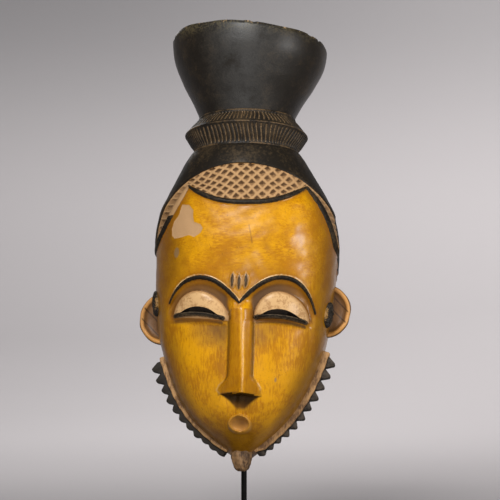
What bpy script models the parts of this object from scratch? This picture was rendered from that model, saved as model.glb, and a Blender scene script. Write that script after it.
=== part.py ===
# A carved and painted wooden face mask on a steel display stand.
# Metres, +Z up, the mask looks along -Y. The origin is the centre of the foot's underside.
#
# The mask is modelled upright in its own frame and then leant back onto the stand. In that frame x runs
# to the viewer's right, y = 0 is the plane of the mask's hollow back, -y is the front, and z = 0 is the
# tip of the beard tuft under the chin.

import math

import bmesh
import bpy
import numpy as np
from mathutils import Matrix, Vector

# Stand
FOOT_WIDTH = 0.140
FOOT_DEPTH = 0.120
FOOT_THICKNESS = 0.012
FOOT_EDGE = 0.0015
ROD_RADIUS = 0.0026
ROD_BEHIND_CENTRE = 0.012
ROD_SEAT_DEPTH = 0.008
CROSSBAR_LENGTH = 0.060
CROSSBAR_RADIUS = 0.0030
GAP = 0.0003

# How the mask hangs
CHIN_HEIGHT = 0.100
LEAN_BACK = math.radians(10.0)

# The carving isn't quite straight: how far its middle strays to the right at each height
CENTRE_LEVELS = (0.0, 0.050, 0.100, 0.150, 0.175, 0.210, 0.250, 0.290, 0.307, 0.325, 0.365, 0.400)
CENTRE_SHIFTS = (0.0010, -0.0008, 0.0005, 0.0014, 0.0028, 0.0040, 0.0034, 0.0022, 0.0023, 0.0030,
                 0.0044, 0.0049)

# Head: half width, distance of the front from the back plane, depth of the widest line, squareness
HEAD_LEVELS = (0.014, 0.0182, 0.0274, 0.0367, 0.0487, 0.0607, 0.0741, 0.0968, 0.1195,
               0.145, 0.175, 0.205, 0.233, 0.2494, 0.2678, 0.2806, 0.2915)
HEAD_HALF_WIDTHS = (0.0085, 0.0141, 0.0247, 0.0350, 0.0459, 0.0540, 0.0611, 0.0700, 0.0762,
                    0.0798, 0.0820, 0.0830, 0.0792, 0.0718, 0.0618, 0.0545, 0.0470)
HEAD_FRONTS = (0.0400, 0.0465, 0.0590, 0.0690, 0.0765, 0.0810, 0.0840, 0.0880, 0.0920,
               0.0965, 0.1035, 0.1085, 0.1085, 0.1060, 0.1020, 0.0985, 0.0935)
SIDE_LEVELS = (0.014, 0.060, 0.110, 0.230, 0.2915)
SIDE_DEPTHS = (0.024, 0.033, 0.035, 0.037, 0.0465)
FRONT_SQUARENESS = (2.0, 2.25, 2.5, 2.45, 2.0)
BACK_SQUARENESS = (5.0, 7.0, 8.0, 7.0, 2.0)
CHIN_ROWS_TOP_Z = 0.045
EYE_ROWS_TOP_Z = 0.175

# Neck ring and cup of the headdress
NECK_DEPTH = 0.0465
RING_BOTTOM_Z = 0.2890
RING_EDGE_Z = 0.3060
RING_TOP_Z = 0.3235
RING_BOTTOM_RADIUS = 0.0478
RING_EDGE_RADIUS = 0.0566
RING_TOP_RADIUS = 0.0442
RING_FRONT_RISE = 0.0030
ROUND_SIDES = 36
CUP_LEVELS = (0.3180, 0.3366, 0.3557, 0.3780, 0.3900, 0.3928)
CUP_RADII = (0.0412, 0.0502, 0.0612, 0.0704, 0.0718, 0.0707)
CUP_DEPTH_SHARE = 0.92
CUP_RIM_DEPTH = 0.050
RIM_SLOPE_FORWARD = 0.095
RIM_SLOPE_ASIDE = -0.07
RIM_DISH = 0.003

# Hollow back
WALL = 0.013
HOLLOW_FLOOR_Z = 0.0320
HOLLOW_CEILING_Z = 0.2640
HOLLOW_CORNER = 0.022
HOLLOW_OVERRUN = 0.030

# Brow and eyes
EYE_X = 0.0365
BROW_HALF_SPAN = 0.0315
BROW_THICKNESS = 0.0042
BROW_HEIGHT = 0.0018
BROW_MEETING_Z = 0.1445
BROW_TOP_Z = 0.1672
BROW_FALL = 0.0430
BROW_LENGTH_LEFT = 0.87
BROW_LENGTH_RIGHT = 0.955
BROW_START_X = 0.0005
ORBIT_DEPTH = 0.0035
ORBIT_EDGE = 0.0120
LID_HALF_WIDTH = 0.0252
LID_HEIGHT = 0.0240
LID_ROOT = 0.0060
LID_BULGE = 0.0062
EYE_LINE_Z = 0.1316
EYE_UNEVEN = -0.0007
EYE_TILT = -0.077
SLIT_HALF_WIDTH = 0.0208
SLIT_HEIGHT = 0.0048
SLIT_SAG = 0.0020
SLIT_SLANT = math.radians(28.0)
SLIT_REACH_OUT = 0.020
SLIT_REACH_IN = 0.040
LOWER_LID_THICKNESS = 0.0042
LOWER_LID_OVERRUN = 0.0012
LOWER_LID_HEIGHT = 0.0046
CHEEK_TOP_Z = 0.1285
CHEEK_END_Z = 0.0700
LEDGE_HEIGHT = 0.0040
CHEEK_DEPTH = 0.0025

# Nose and mouth
NOSE_TOP_Z = 0.1500
NOSE_BOTTOM_Z = 0.0628
NOSE_HALF_WIDTH = 0.0100
NOSTRIL_HALF_WIDTH = 0.0190
NOSTRIL_HEIGHT = 0.0140
NOSE_TOP_RISE = 0.0030
NOSE_TIP_RISE = 0.0185
NOSE_ASIDE = 0.0019
NOSE_RIDGE_ASIDE = 0.0020
NOSE_ROOT = 0.0080
MOUTH_X = 0.0020
MOUTH_Z = 0.0394
MOUTH_RADIUS = 0.0104
MOUTH_RISE = 0.0050
MOUTH_ROOT = 0.0060
MOUTH_DISH_RADIUS = 0.0080
SCAR_HEIGHT = 0.0135
SCAR_WIDTH = 0.0046
SCAR_RISE = 0.0026
SCAR_ROOT = 0.0020
SCAR_PITCH = 0.0052
SCAR_Z = 0.1635

# Hair: a ridge along the hairline, and a chip-carved lattice above the forehead
HAIRLINE_THICKNESS = 0.0048
HAIRLINE_HEIGHT = 0.0018
HAIRLINE_CORNER_X = 0.0530
HAIRLINE_CORNER_Z = 0.2510
HAIRLINE_MIDDLE_Z = 0.2335
LATTICE_ASIDE = 0.0036
HAIRLINE_BULGE_RIGHT = 0.0050
HAIRLINE_END_X = 0.0818
HAIRLINE_END_Z = 0.2005
CROWN_EDGE_HALF_WIDTH = 0.0830
CROWN_EDGE_BASE_Z = 0.2055
CROWN_EDGE_ARCH = 0.0645
CROWN_EDGE_TURN = math.radians(77.0)
CROWN_EDGE_THICKNESS = 0.0040
CROWN_EDGE_HEIGHT = 0.0016
LATTICE_TOP_Z = 0.2685
LATTICE_PITCH_X = 0.0094
LATTICE_PITCH_Z = 0.0089
LATTICE_RIB = 0.0018
PIT_DEPTH = 0.0018

# Ears
EAR_Z = 0.1430
EAR_UNEVEN = 0.0035
EAR_HALF_HEIGHT = 0.0245
EAR_REACH = 0.0175
EAR_THICKNESS = 0.0090
EAR_FRONT_DEPTH = 0.0350
EAR_RIM = 0.0035
EAR_DISH = 0.0035
EAR_LEAN = 0.0040
EAR_ROOT = 0.0060
TUFT_HALF_HEIGHT = 0.0118
TUFT_HALF_WIDTH = 0.0088
TUFT_RISE = 0.0032
TUFT_ROOT = 0.0040
TUFT_ANGLE = math.radians(77.0)
TUFT_Z = 0.1450
TUFT_UNEVEN = -0.0050

# Notched collar along the jaw, and the beard tuft
COLLAR_TOP_Z = 0.1036
COLLAR_BOTTOM_Z = 0.0175
COLLAR_UNEVEN = 0.0028
STRIP_OVERRUN = 0.0030
STRIP_END_OVERRUN = 0.0004
STRIP_END_STEP = 0.0020
STRIP_STATIONS = 14
STRIP_TOP_WIDTH = 0.0050
STRIP_END_WIDTH = 0.0030
STRIP_UNEVEN = 0.0008
COLLAR_FRONT_DEPTH = 0.0387
COLLAR_THICKNESS = 0.0160
COLLAR_STEP = 0.0030
COLLAR_ROOT = 0.0080
STRIP_ROOT = 0.0095
TOOTH_COUNT = 11
TOOTH_TOP_REACH = 0.0140
TOOTH_END_REACH = 0.0062
TOOTH_BACKING = 0.0016
TOOTH_BACKING_UNEVEN = -0.0014
TOOTH_CROWDING = 0.12
BEARD_RADIUS = 0.0098
BEARD_TOP_Z = 0.0200
BEARD_DEPTH = 0.0360

# Paint and metal
YELLOW = (0.56, 0.25, 0.008)
STAND_BLACK = (0.010, 0.010, 0.010)


def interpolated(levels, values):
    """A smooth curve through the points that never overshoots them (monotone cubic)."""
    xs = np.asarray(levels, float)
    ys = np.asarray(values, float)
    steps = np.diff(xs)
    slopes = np.diff(ys) / steps
    tangents = np.empty_like(ys)
    tangents[0] = slopes[0]
    tangents[-1] = slopes[-1]
    for i in range(1, len(xs) - 1):
        before, after = slopes[i - 1], slopes[i]
        tangents[i] = 0.0 if before * after <= 0 else 2 * before * after / (before + after)

    def at(x):
        x = np.clip(np.asarray(x, float), xs[0], xs[-1])
        i = np.clip(np.searchsorted(xs, x) - 1, 0, len(steps) - 1)
        h = steps[i]
        t = (x - xs[i]) / h
        return (
            ys[i] * (1 + 2 * t) * (1 - t) ** 2
            + ys[i + 1] * t * t * (3 - 2 * t)
            + tangents[i] * h * t * (1 - t) ** 2
            + tangents[i + 1] * h * t * t * (t - 1)
        )

    return at


half_width = interpolated(HEAD_LEVELS, HEAD_HALF_WIDTHS)
front_of = interpolated(HEAD_LEVELS, HEAD_FRONTS)
side_depth = interpolated(SIDE_LEVELS, SIDE_DEPTHS)
front_squareness = interpolated(SIDE_LEVELS, FRONT_SQUARENESS)
back_squareness = interpolated(SIDE_LEVELS, BACK_SQUARENESS)
cup_radius = interpolated(CUP_LEVELS, CUP_RADII)
centre_shift = interpolated(CENTRE_LEVELS, CENTRE_SHIFTS)


def smoothstep(low, high, value):
    t = np.clip((value - low) / (high - low), 0.0, 1.0)
    return t * t * (3 - 2 * t)


def eye_relief(x, z):
    """How far the front stands out at the eyes: the sunk orbit under each brow, and the cheek below it."""
    across = (abs(x) - EYE_X) / BROW_HALF_SPAN
    brow = brow_height(abs(x))
    under_brow = smoothstep(ORBIT_EDGE / 3, -ORBIT_EDGE, z - brow) * smoothstep(1.0, 0.6, abs(across))
    above_cheek = smoothstep(CHEEK_TOP_Z - LEDGE_HEIGHT, CHEEK_TOP_Z, z)
    orbit = -ORBIT_DEPTH * under_brow * above_cheek
    below = smoothstep(CHEEK_TOP_Z, CHEEK_TOP_Z - LEDGE_HEIGHT, z) * smoothstep(CHEEK_END_Z, CHEEK_TOP_Z, z)
    cheek = -CHEEK_DEPTH * below * smoothstep(1.05, 0.7, abs(across))
    return orbit + cheek


def brow_height(x):
    """The height of the brow's centre line at a distance from the nose."""
    rise = BROW_TOP_Z - BROW_MEETING_Z
    t = (EYE_X - x) / EYE_X
    s = (x - EYE_X) / BROW_HALF_SPAN
    inside = BROW_TOP_Z - rise * np.clip(t, 0, 1) ** 1.9
    outside = BROW_TOP_Z - BROW_FALL * (1 - np.sqrt(1 - np.clip(s, 0, 1) ** 2 * 0.999)) ** 1.1
    return np.where(x < EYE_X, inside, outside)


def skin(angle, z, inset=0.0, relief=True):
    """A point of the head's outside. Angle 0 faces forwards and a right angle is the viewer's right."""
    across = np.sin(angle)
    forward = np.cos(angle)
    is_front = forward >= 0
    centre = side_depth(z)
    width = half_width(z) - inset
    depth = np.where(is_front, front_of(z) - centre - inset, centre)
    power = np.where(is_front, front_squareness(z), back_squareness(z))
    reach = ((abs(across) / width) ** power + (abs(forward) / depth) ** power) ** (-1 / power)
    x = reach * across
    y = -centre - reach * forward
    if relief:
        y = y - np.where(is_front, eye_relief(x, z), 0.0)
    return np.array([x, y, z])


def angle_at(x, z):
    """The angle at which the head's outside has this x, at this height, by bisection."""
    low, high = 0.0, math.pi / 2
    for _ in range(40):
        middle = (low + high) / 2
        if skin(middle, z)[0] < abs(x):
            low = middle
        else:
            high = middle
    return math.copysign(low, x)


def on_face(x, z):
    """The point of the head's outside that is seen from the front at x, z."""
    return skin(angle_at(x, z), z)


def normal_at(angle, z):
    """The outward direction of the head's outside."""
    step = 0.002
    along = skin(angle + step, z, relief=False) - skin(angle - step, z, relief=False)
    up = skin(angle, z + step, relief=False) - skin(angle, z - step, relief=False)
    out = np.cross(along, up)
    return out / np.linalg.norm(out)


def to_stand():
    """The matrix from the mask's own frame to the stand's: the lean back, and the place where the chin's
    back edge meets the rod and the beard clears the foot."""
    back = Matrix.Rotation(-LEAN_BACK, 4, "X")
    inner_edge = back @ Vector((0, 0, HOLLOW_FLOOR_Z))
    shift = Vector((0, ROD_BEHIND_CENTRE - ROD_RADIUS - GAP - inner_edge.y, CHIN_HEIGHT))
    return Matrix.Translation(shift) @ back


def mask_solid(name, points, faces):
    """A solid given about the mask's straight middle, put on its true one and leant onto the stand."""
    mesh = bpy.data.meshes.new(name)
    strayed = [(float(x + centre_shift(z)), float(y), float(z)) for x, y, z in points]
    mesh.from_pydata(strayed, [], faces)
    work = bmesh.new()
    work.from_mesh(mesh)
    bmesh.ops.triangulate(work, faces=work.faces)
    bmesh.ops.recalc_face_normals(work, faces=work.faces)
    work.to_mesh(mesh)
    work.free()
    mesh.transform(to_stand())
    obj = bpy.data.objects.new(name, mesh)
    bpy.context.scene.collection.objects.link(obj)
    return obj


def lofted(name, rings):
    """A closed solid through rings of the same number of points, with flat ends."""
    count = len(rings[0])
    points = [p for ring in rings for p in ring]
    faces = []
    for r in range(len(rings) - 1):
        for i in range(count):
            j = (i + 1) % count
            faces.append((r * count + i, r * count + j, (r + 1) * count + j, (r + 1) * count + i))
    faces.append(tuple(reversed(range(count))))
    faces.append(tuple(range((len(rings) - 1) * count, len(rings) * count)))
    return mask_solid(name, points, faces)


def helper(obj):
    """A solid that only cuts or joins another, and isn't a part of its own."""
    obj.hide_render = True
    obj.display_type = "WIRE"
    return obj


def combine(obj, others, operation, name, overlapping=False):
    """Join solids to an object, or cut them from it, all in one step."""
    group = bpy.data.collections.new(name)
    bpy.context.scene.collection.children.link(group)
    for other in others:
        for holder in list(other.users_collection):
            holder.objects.unlink(other)
        group.objects.link(helper(other))
    modifier = obj.modifiers.new(name, "BOOLEAN")
    modifier.operation = operation
    modifier.operand_type = "COLLECTION"
    modifier.collection = group
    modifier.solver = "EXACT"
    modifier.use_self = overlapping


def painted(name, colour, roughness, metallic=0.0):
    material = bpy.data.materials.new(name)
    material.use_nodes = True
    shader = material.node_tree.nodes["Principled BSDF"]
    shader.inputs["Base Color"].default_value = (*colour, 1.0)
    shader.inputs["Roughness"].default_value = roughness
    shader.inputs["Metallic"].default_value = metallic
    material.diffuse_color = (*colour, 1.0)
    return material


def head_angles():
    """Columns round the head, closer together over the face than round the back."""
    front = [math.radians(a) for a in np.linspace(-78, 78, 27)]
    back = [math.radians(a) for a in (90, 108, 126, 147, 180, 213, 234, 252, 270)]
    return front + back


def head_heights():
    """Rows up the head, closest together at the chin and the eyes."""
    stops = (HEAD_LEVELS[0], CHIN_ROWS_TOP_Z, CHEEK_TOP_Z - LEDGE_HEIGHT, CHEEK_TOP_Z, EYE_ROWS_TOP_Z,
             HEAD_LEVELS[-1])
    heights = []
    for low, high, steps in zip(stops, stops[1:], (5, 7, 1, 9, 9)):
        heights += list(np.linspace(low, high, steps, endpoint=False))
    return heights + [HEAD_LEVELS[-1]]


def head():
    rings = [[skin(a, z) for a in head_angles()] for z in head_heights()]
    return lofted("mask", rings)


def neck_ring():
    """The double-coned ring between the head and the cup. Its fine flutes are too shallow to be built."""
    rings = []
    levels = (
        (RING_BOTTOM_Z, RING_BOTTOM_RADIUS, 0.0),
        (RING_EDGE_Z, RING_EDGE_RADIUS, RING_FRONT_RISE),
        (RING_TOP_Z, RING_TOP_RADIUS, 0.0),
    )
    for z, radius, rise in levels:
        ring = []
        for i in range(ROUND_SIDES):
            a = 2 * math.pi * i / ROUND_SIDES
            height = z + rise * math.cos(a)
            ring.append((radius * math.sin(a), -NECK_DEPTH - radius * math.cos(a), height))
        rings.append(ring)
    return lofted("neck_ring", rings)


def cup():
    """The flared cup on top: it leans its mouth forwards and to one side, and its top is slightly dished."""
    rings = []
    for z in CUP_LEVELS:
        radius = float(cup_radius(z))
        share = (z - CUP_LEVELS[0]) / (CUP_LEVELS[-1] - CUP_LEVELS[0])
        centre = NECK_DEPTH + (CUP_RIM_DEPTH - NECK_DEPTH) * share
        deep = radius * (1 + (CUP_DEPTH_SHARE - 1) * share)
        ring = []
        for i in range(ROUND_SIDES):
            a = 2 * math.pi * i / ROUND_SIDES
            x = radius * math.sin(a)
            y = deep * math.cos(a)
            slope = share ** 2 * (RIM_SLOPE_FORWARD * y + RIM_SLOPE_ASIDE * x)
            ring.append((x, -centre - y, z + slope))
        rings.append(ring)
    top = np.array(rings[-1])
    middle = top.mean(axis=0)
    for share, drop in ((0.93, 0.2), (0.6, 1.0)):
        ring = middle + (top - middle) * share
        ring[:, 2] -= RIM_DISH * drop
        rings.append([tuple(p) for p in ring])
    return lofted("cup", rings)


def hollow():
    """The cutter of the hollow back: the head's own section, a wall smaller, with rounded ends."""
    heights = np.concatenate([
        HOLLOW_FLOOR_Z + HOLLOW_CORNER * (1 - np.cos(np.linspace(0, math.pi / 2, 4))),
        np.linspace(HOLLOW_FLOOR_Z + HOLLOW_CORNER, HOLLOW_CEILING_Z - HOLLOW_CORNER, 6)[1:-1],
        HOLLOW_CEILING_Z - HOLLOW_CORNER * (1 - np.sin(np.linspace(0, math.pi / 2, 4))),
    ])
    angles = [math.radians(a) for a in np.linspace(-90, 90, 13)]
    rings = []
    for z in heights:
        from_end = min(z - HOLLOW_FLOOR_Z, HOLLOW_CEILING_Z - z, HOLLOW_CORNER)
        drawn_in = HOLLOW_CORNER - math.sqrt(HOLLOW_CORNER**2 - (HOLLOW_CORNER - from_end) ** 2)
        inset = WALL + 0.45 * drawn_in
        ring = [tuple(skin(a, z, inset=inset, relief=False)) for a in angles]
        ring += [(ring[-1][0], HOLLOW_OVERRUN, z), (ring[0][0], HOLLOW_OVERRUN, z)]
        rings.append(ring)
    return lofted("hollow", rings)


def bead(name, path, thickness, height, taper=0.35):
    """A ridge that lies along the head's outside. path holds (angle, z) pairs."""
    rings = []
    centres = [skin(a, z) for a, z in path]
    last = len(path) - 1
    for i, (a, z) in enumerate(path):
        out = normal_at(a, z)
        along = centres[min(i + 1, last)] - centres[max(i - 1, 0)]
        side = np.cross(out, along)
        side = side / np.linalg.norm(side)
        share = 1.0 if 0 < i < last else taper
        half = thickness / 2 * share
        outline = ((-1.2, -1.2), (1.2, -1.2), (0.8, 0.6), (0.0, 1.0), (-0.8, 0.6))
        rings.append([centres[i] + side * half * u + out * height * v * share for u, v in outline])
    return lofted(name, rings)


def brow(side):
    length = BROW_LENGTH_LEFT if side < 0 else BROW_LENGTH_RIGHT
    turn = np.linspace(0, math.asin(length), 7)[1:]
    xs = np.concatenate([np.linspace(BROW_START_X, EYE_X, 7), EYE_X + BROW_HALF_SPAN * np.sin(turn)])
    path = [(angle_at(side * x, float(brow_height(x))), float(brow_height(x))) for x in xs]
    return bead(f"brow_{side}", path, BROW_THICKNESS, BROW_HEIGHT)


def hairline_middle():
    xs = np.linspace(-HAIRLINE_CORNER_X, HAIRLINE_CORNER_X, 13)
    path = [(angle_at(x + LATTICE_ASIDE, hairline_height(x)), hairline_height(x)) for x in xs]
    return bead("hairline_middle", path, HAIRLINE_THICKNESS, HAIRLINE_HEIGHT)


def hairline_height(x):
    """The lower edge of the lattice field over the forehead, a shallow bowl with its ends turned up."""
    share = abs(x) / HAIRLINE_CORNER_X
    return HAIRLINE_MIDDLE_Z + (HAIRLINE_CORNER_Z - HAIRLINE_MIDDLE_Z) * share**2.6


def lattice_top(x):
    """The upper edge of the lattice field, an arch between the same two corners."""
    share = abs(x) / HAIRLINE_CORNER_X
    return LATTICE_TOP_Z - (LATTICE_TOP_Z - HAIRLINE_CORNER_Z) * share**1.9


def hairline_side(side):
    path = []
    bulge = HAIRLINE_BULGE_RIGHT if side > 0 else 0.0
    for t in np.linspace(0, 1, 7):
        x = side * HAIRLINE_CORNER_X + LATTICE_ASIDE
        x += (side * HAIRLINE_END_X - x) * t + side * bulge * math.sin(math.pi * t) * 0.9
        z = HAIRLINE_CORNER_Z + (HAIRLINE_END_Z - HAIRLINE_CORNER_Z) * t
        z += bulge * math.sin(math.pi * t) * 0.4
        path.append((angle_at(x, z), z))
    return bead(f"hairline_{side}", path, HAIRLINE_THICKNESS, HAIRLINE_HEIGHT)


def crown_edge():
    """The lip of the smooth crown where it overhangs the carved hair, an arch from temple to temple."""
    path = []
    for turn in np.linspace(-CROWN_EDGE_TURN, CROWN_EDGE_TURN, 17):
        x = CROWN_EDGE_HALF_WIDTH * math.sin(turn)
        z = CROWN_EDGE_BASE_Z + CROWN_EDGE_ARCH * math.cos(turn)
        path.append((angle_at(x, z), z))
    return bead("crown_edge", path, CROWN_EDGE_THICKNESS, CROWN_EDGE_HEIGHT)


def lattice_pits():
    """Four-sided pits in rows set half a step apart, wherever one fits whole between the field's edges."""
    points, faces = [], []
    half_x = LATTICE_PITCH_X / 2 - LATTICE_RIB / 2
    half_z = LATTICE_PITCH_Z / 2 - LATTICE_RIB / 2
    rows = int((LATTICE_TOP_Z - HAIRLINE_MIDDLE_Z) / (LATTICE_PITCH_Z / 2)) + 1
    columns = int(HAIRLINE_CORNER_X / LATTICE_PITCH_X) + 1
    for row in range(rows):
        z = HAIRLINE_MIDDLE_Z + HAIRLINE_THICKNESS / 2 + half_z + row * LATTICE_PITCH_Z / 2
        for column in range(-columns, columns + 1):
            x = (column + 0.5 * (row % 2)) * LATTICE_PITCH_X
            margin = half_z + LATTICE_RIB / 2
            low = hairline_height(x) + HAIRLINE_THICKNESS / 2 + margin - LATTICE_RIB
            if abs(x) > HAIRLINE_CORNER_X - half_x or not low <= z <= lattice_top(x) - margin:
                continue
            a = angle_at(x + LATTICE_ASIDE, z)
            out = normal_at(a, z)
            centre = skin(a, z)
            aside = np.cross([0, 0, 1], out)
            aside = aside / np.linalg.norm(aside)
            up = np.cross(out, aside)
            mouth = centre + out * PIT_DEPTH * 0.8
            grow = 1.8
            base = len(points)
            for u, v in ((1, 0), (0, 1), (-1, 0), (0, -1)):
                points.append(mouth + aside * half_x * u * grow + up * half_z * v * grow)
            points.append(centre - out * PIT_DEPTH)
            faces.append((base, base + 1, base + 2, base + 3))
            faces += [(base + (k + 1) % 4, base + k, base + 4) for k in range(4)]
    return mask_solid("lattice_pits", points, faces)


def eye_line(side, along):
    """The height of the line through an eye's two corners, at a distance from the eye's middle."""
    return EYE_LINE_Z + side * EYE_UNEVEN + EYE_TILT * along


def lid(side):
    """The upper half of a flattened egg that lies over the eye, down to the eye line."""
    rings = []
    for level in (0.0, 0.3, 0.6, 0.82, 0.95):
        shrink = math.sqrt(1 - level**2)
        ring = []
        for a in np.linspace(-math.pi / 2, math.pi / 2, 9):
            along = LID_HALF_WIDTH * shrink * math.sin(a)
            x = side * EYE_X + along
            z = eye_line(side, along) + LID_HEIGHT * level
            ring.append((x, on_face(x, z)[1] - LID_BULGE * shrink * math.cos(a) ** 0.8, z))
        first, last = ring[0], ring[-1]
        roots = [(x, y + LID_ROOT, z) for x, y, z in (first, last)]
        rings.append([roots[0]] + ring + [roots[1]])
    return lofted(f"lid_{side}", rings)


def slit_edges(side):
    """The open slit's outline from the front: an arch above a shallower arch."""
    outline = []
    shares = np.linspace(-1, 1, 9)
    for arch, ts in ((SLIT_SAG + SLIT_HEIGHT, shares[1:-1]), (SLIT_SAG, shares[::-1])):
        for t in ts:
            along = SLIT_HALF_WIDTH * t
            z = eye_line(side, along) + LOWER_LID_THICKNESS * 0.9 + arch * (1 - t * t)
            outline.append((side * EYE_X + along, z))
    return outline


def slit(side):
    """The cutter of the open slit, which slants down inwards, so that no light shows through from ahead."""
    rings = []
    for depth in (-SLIT_REACH_OUT, SLIT_REACH_IN):
        drop = depth * math.tan(SLIT_SLANT)
        rings.append([(x, on_face(x, z)[1] + depth, z - drop) for x, z in slit_edges(side)])
    return lofted(f"slit_{side}", rings)


def lower_lid(side):
    path = []
    for t in np.linspace(-1, 1, 9):
        along = (SLIT_HALF_WIDTH + LOWER_LID_OVERRUN) * t
        x = side * EYE_X + along
        z = eye_line(side, along) + LOWER_LID_THICKNESS / 2 + SLIT_SAG * (1 - t * t)
        path.append((angle_at(x, z), z))
    return bead(f"lower_lid_{side}", path, LOWER_LID_THICKNESS, LOWER_LID_HEIGHT)


def nose():
    """A straight blade with a sharp back, flaring to the nostrils and cut off level below."""
    rings = []
    nostril_top = NOSE_BOTTOM_Z + NOSTRIL_HEIGHT
    levels = [NOSE_BOTTOM_Z + NOSTRIL_HEIGHT * share for share in (0.0, 0.3, 0.6)]
    levels += list(np.linspace(nostril_top, NOSE_TOP_Z, 4))
    for z in levels:
        share = (NOSE_TOP_Z - z) / (NOSE_TOP_Z - NOSE_BOTTOM_Z)
        flare = float(smoothstep(nostril_top, NOSE_BOTTOM_Z + NOSTRIL_HEIGHT * 0.15, z))
        half = NOSE_HALF_WIDTH * (0.55 + 0.45 * min(share / 0.15, 1.0))
        half += (NOSTRIL_HALF_WIDTH - NOSE_HALF_WIDTH) * flare
        surface = skin(0.0, z)[1]
        ridge = surface - NOSE_TOP_RISE - (NOSE_TIP_RISE - NOSE_TOP_RISE) * share
        shoulder = surface - (0.45 + 0.1 * flare) * (surface - ridge)
        edge = on_face(half, z)[1]
        wing = NOSE_HALF_WIDTH * 0.75 + (NOSTRIL_HALF_WIDTH - NOSE_HALF_WIDTH) * flare * 0.9
        middle = NOSE_ASIDE * share
        root = edge + NOSE_ROOT
        outline = ((NOSE_RIDGE_ASIDE * share, ridge), (wing, shoulder), (half, edge), (half, root),
                   (-half, root), (-half, edge), (-wing, shoulder))
        rings.append([(middle + x, y, z) for x, y in outline])
    return lofted("nose", rings)


def turned(name, profile, centre, out, sides):
    """A round boss on the face. profile holds (radius, height) pairs along its axis."""
    axis = Vector(out).normalized()
    aside = axis.orthogonal().normalized()
    up = axis.cross(aside)
    rings = []
    for radius, height in profile:
        ring = []
        for i in range(sides):
            a = 2 * math.pi * i / sides
            p = Vector(centre) + axis * height + (aside * math.cos(a) + up * math.sin(a)) * radius
            ring.append(tuple(p))
        rings.append(ring)
    return lofted(name, rings)


def mouth():
    """A small raised ring with a dished middle, as if the lips were pursed."""
    centre = on_face(MOUTH_X, MOUTH_Z)
    out = normal_at(0.0, MOUTH_Z) + np.array([0, -0.6, 0])
    profile = (
        (MOUTH_RADIUS * 1.15, -MOUTH_ROOT),
        (MOUTH_RADIUS, MOUTH_RISE * 0.7),
        (MOUTH_RADIUS * 0.93, MOUTH_RISE),
        (MOUTH_DISH_RADIUS, MOUTH_RISE * 0.92),
        (MOUTH_DISH_RADIUS * 0.5, MOUTH_RISE * 0.55),
    )
    return turned("mouth", profile, centre, out, 15)


def scar(index):
    """One of three short raised marks between the brows."""
    z = SCAR_Z
    x = index * SCAR_PITCH
    rings = []
    for level, share in ((-1.0, 0.3), (-0.6, 0.9), (0.0, 1.0), (0.6, 0.9), (1.0, 0.3)):
        height = z + SCAR_HEIGHT / 2 * level
        surface = on_face(x, height)[1]
        half = SCAR_WIDTH / 2 * share
        root = surface + SCAR_ROOT
        edge = surface - SCAR_RISE * 0.3
        rings.append([
            (x - half, root, height), (x - half, edge, height), (x, surface - SCAR_RISE * share, height),
            (x + half, edge, height), (x + half, root, height),
        ])
    return lofted(f"scar_{index}", rings)


def ear(side):
    """A thick half disc that faces forwards, with a rim round a dished middle."""
    z_middle = EAR_Z + side * EAR_UNEVEN
    steps = 11
    root = float(half_width(z_middle)) - EAR_ROOT
    outline = []
    for i in range(steps):
        a = -math.pi / 2 + math.pi * i / (steps - 1)
        outline.append((math.cos(a), math.sin(a)))
    front, back = -EAR_FRONT_DEPTH, -EAR_FRONT_DEPTH + EAR_THICKNESS

    def ring(y, inset, lean):
        points = []
        for c, s in outline:
            reach = (EAR_REACH + EAR_ROOT - inset) * c
            z = z_middle + (EAR_HALF_HEIGHT - inset) * s
            points.append((side * (root + reach), y + lean * c, z))
        inner = side * (root - EAR_ROOT * 0.8)
        return points + [(inner, y, points[-1][2]), (inner, y, points[0][2])]

    rings = [
        ring(back, EAR_RIM * 0.4, EAR_LEAN), ring(front + EAR_DISH * 0.6, 0.0, EAR_LEAN),
        ring(front, EAR_RIM * 0.35, EAR_LEAN), ring(front, EAR_RIM, EAR_LEAN),
        ring(front + EAR_DISH, EAR_RIM * 1.9, EAR_LEAN * 0.75),
    ]
    return lofted(f"ear_{side}", rings)


def tuft(side):
    """The raised oval of hair in front of each ear."""
    z = TUFT_Z + side * TUFT_UNEVEN
    a = side * TUFT_ANGLE
    centre = skin(a, z)
    out = normal_at(a, z)
    rings = []
    aside = np.cross([0, 0, 1], out)
    aside = aside / np.linalg.norm(aside)
    up = np.cross(out, aside)
    for share, height in ((1.0, -TUFT_ROOT), (1.0, TUFT_RISE * 0.6), (0.7, TUFT_RISE)):
        ring = []
        for i in range(12):
            t = 2 * math.pi * i / 12
            ring.append(centre + out * height + share * (
                aside * TUFT_HALF_WIDTH * math.cos(t) + up * TUFT_HALF_HEIGHT * math.sin(t)))
        rings.append(ring)
    return lofted(f"tuft_{side}", rings)


def jaw_line(side, top, bottom, shares):
    """Points of the jaw's outline at shares of the way from below the ear to the chin, with the
    direction that points straight away from the face."""
    zs = np.linspace(top, bottom, 200)
    line = np.stack([half_width(zs), zs], axis=1)
    lengths = np.concatenate([[0], np.cumsum(np.linalg.norm(np.diff(line, axis=0), axis=1))])
    stations = np.asarray(shares) * lengths[-1]
    points = np.stack([np.interp(stations, lengths, line[:, k]) for k in range(2)], axis=1)
    along = np.gradient(points, axis=0)
    out = np.stack([-along[:, 1], along[:, 0]], axis=1)
    out = out / np.linalg.norm(out, axis=1)[:, None]
    points[:, 0] *= side
    out[:, 0] *= side
    return points, out


def collar_plate(name, line, reaches, front, back, inside):
    """A plate along the jaw, from inside the face out to the given reach at each station."""
    rings = []
    for p, out, reach in zip(*line, reaches):
        far = p + out * reach
        near = p - out * inside
        rings.append([
            (near[0], front, near[1]), (far[0], front, far[1]),
            (far[0], back, far[1]), (near[0], back, near[1]),
        ])
    return lofted(name, rings)


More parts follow.
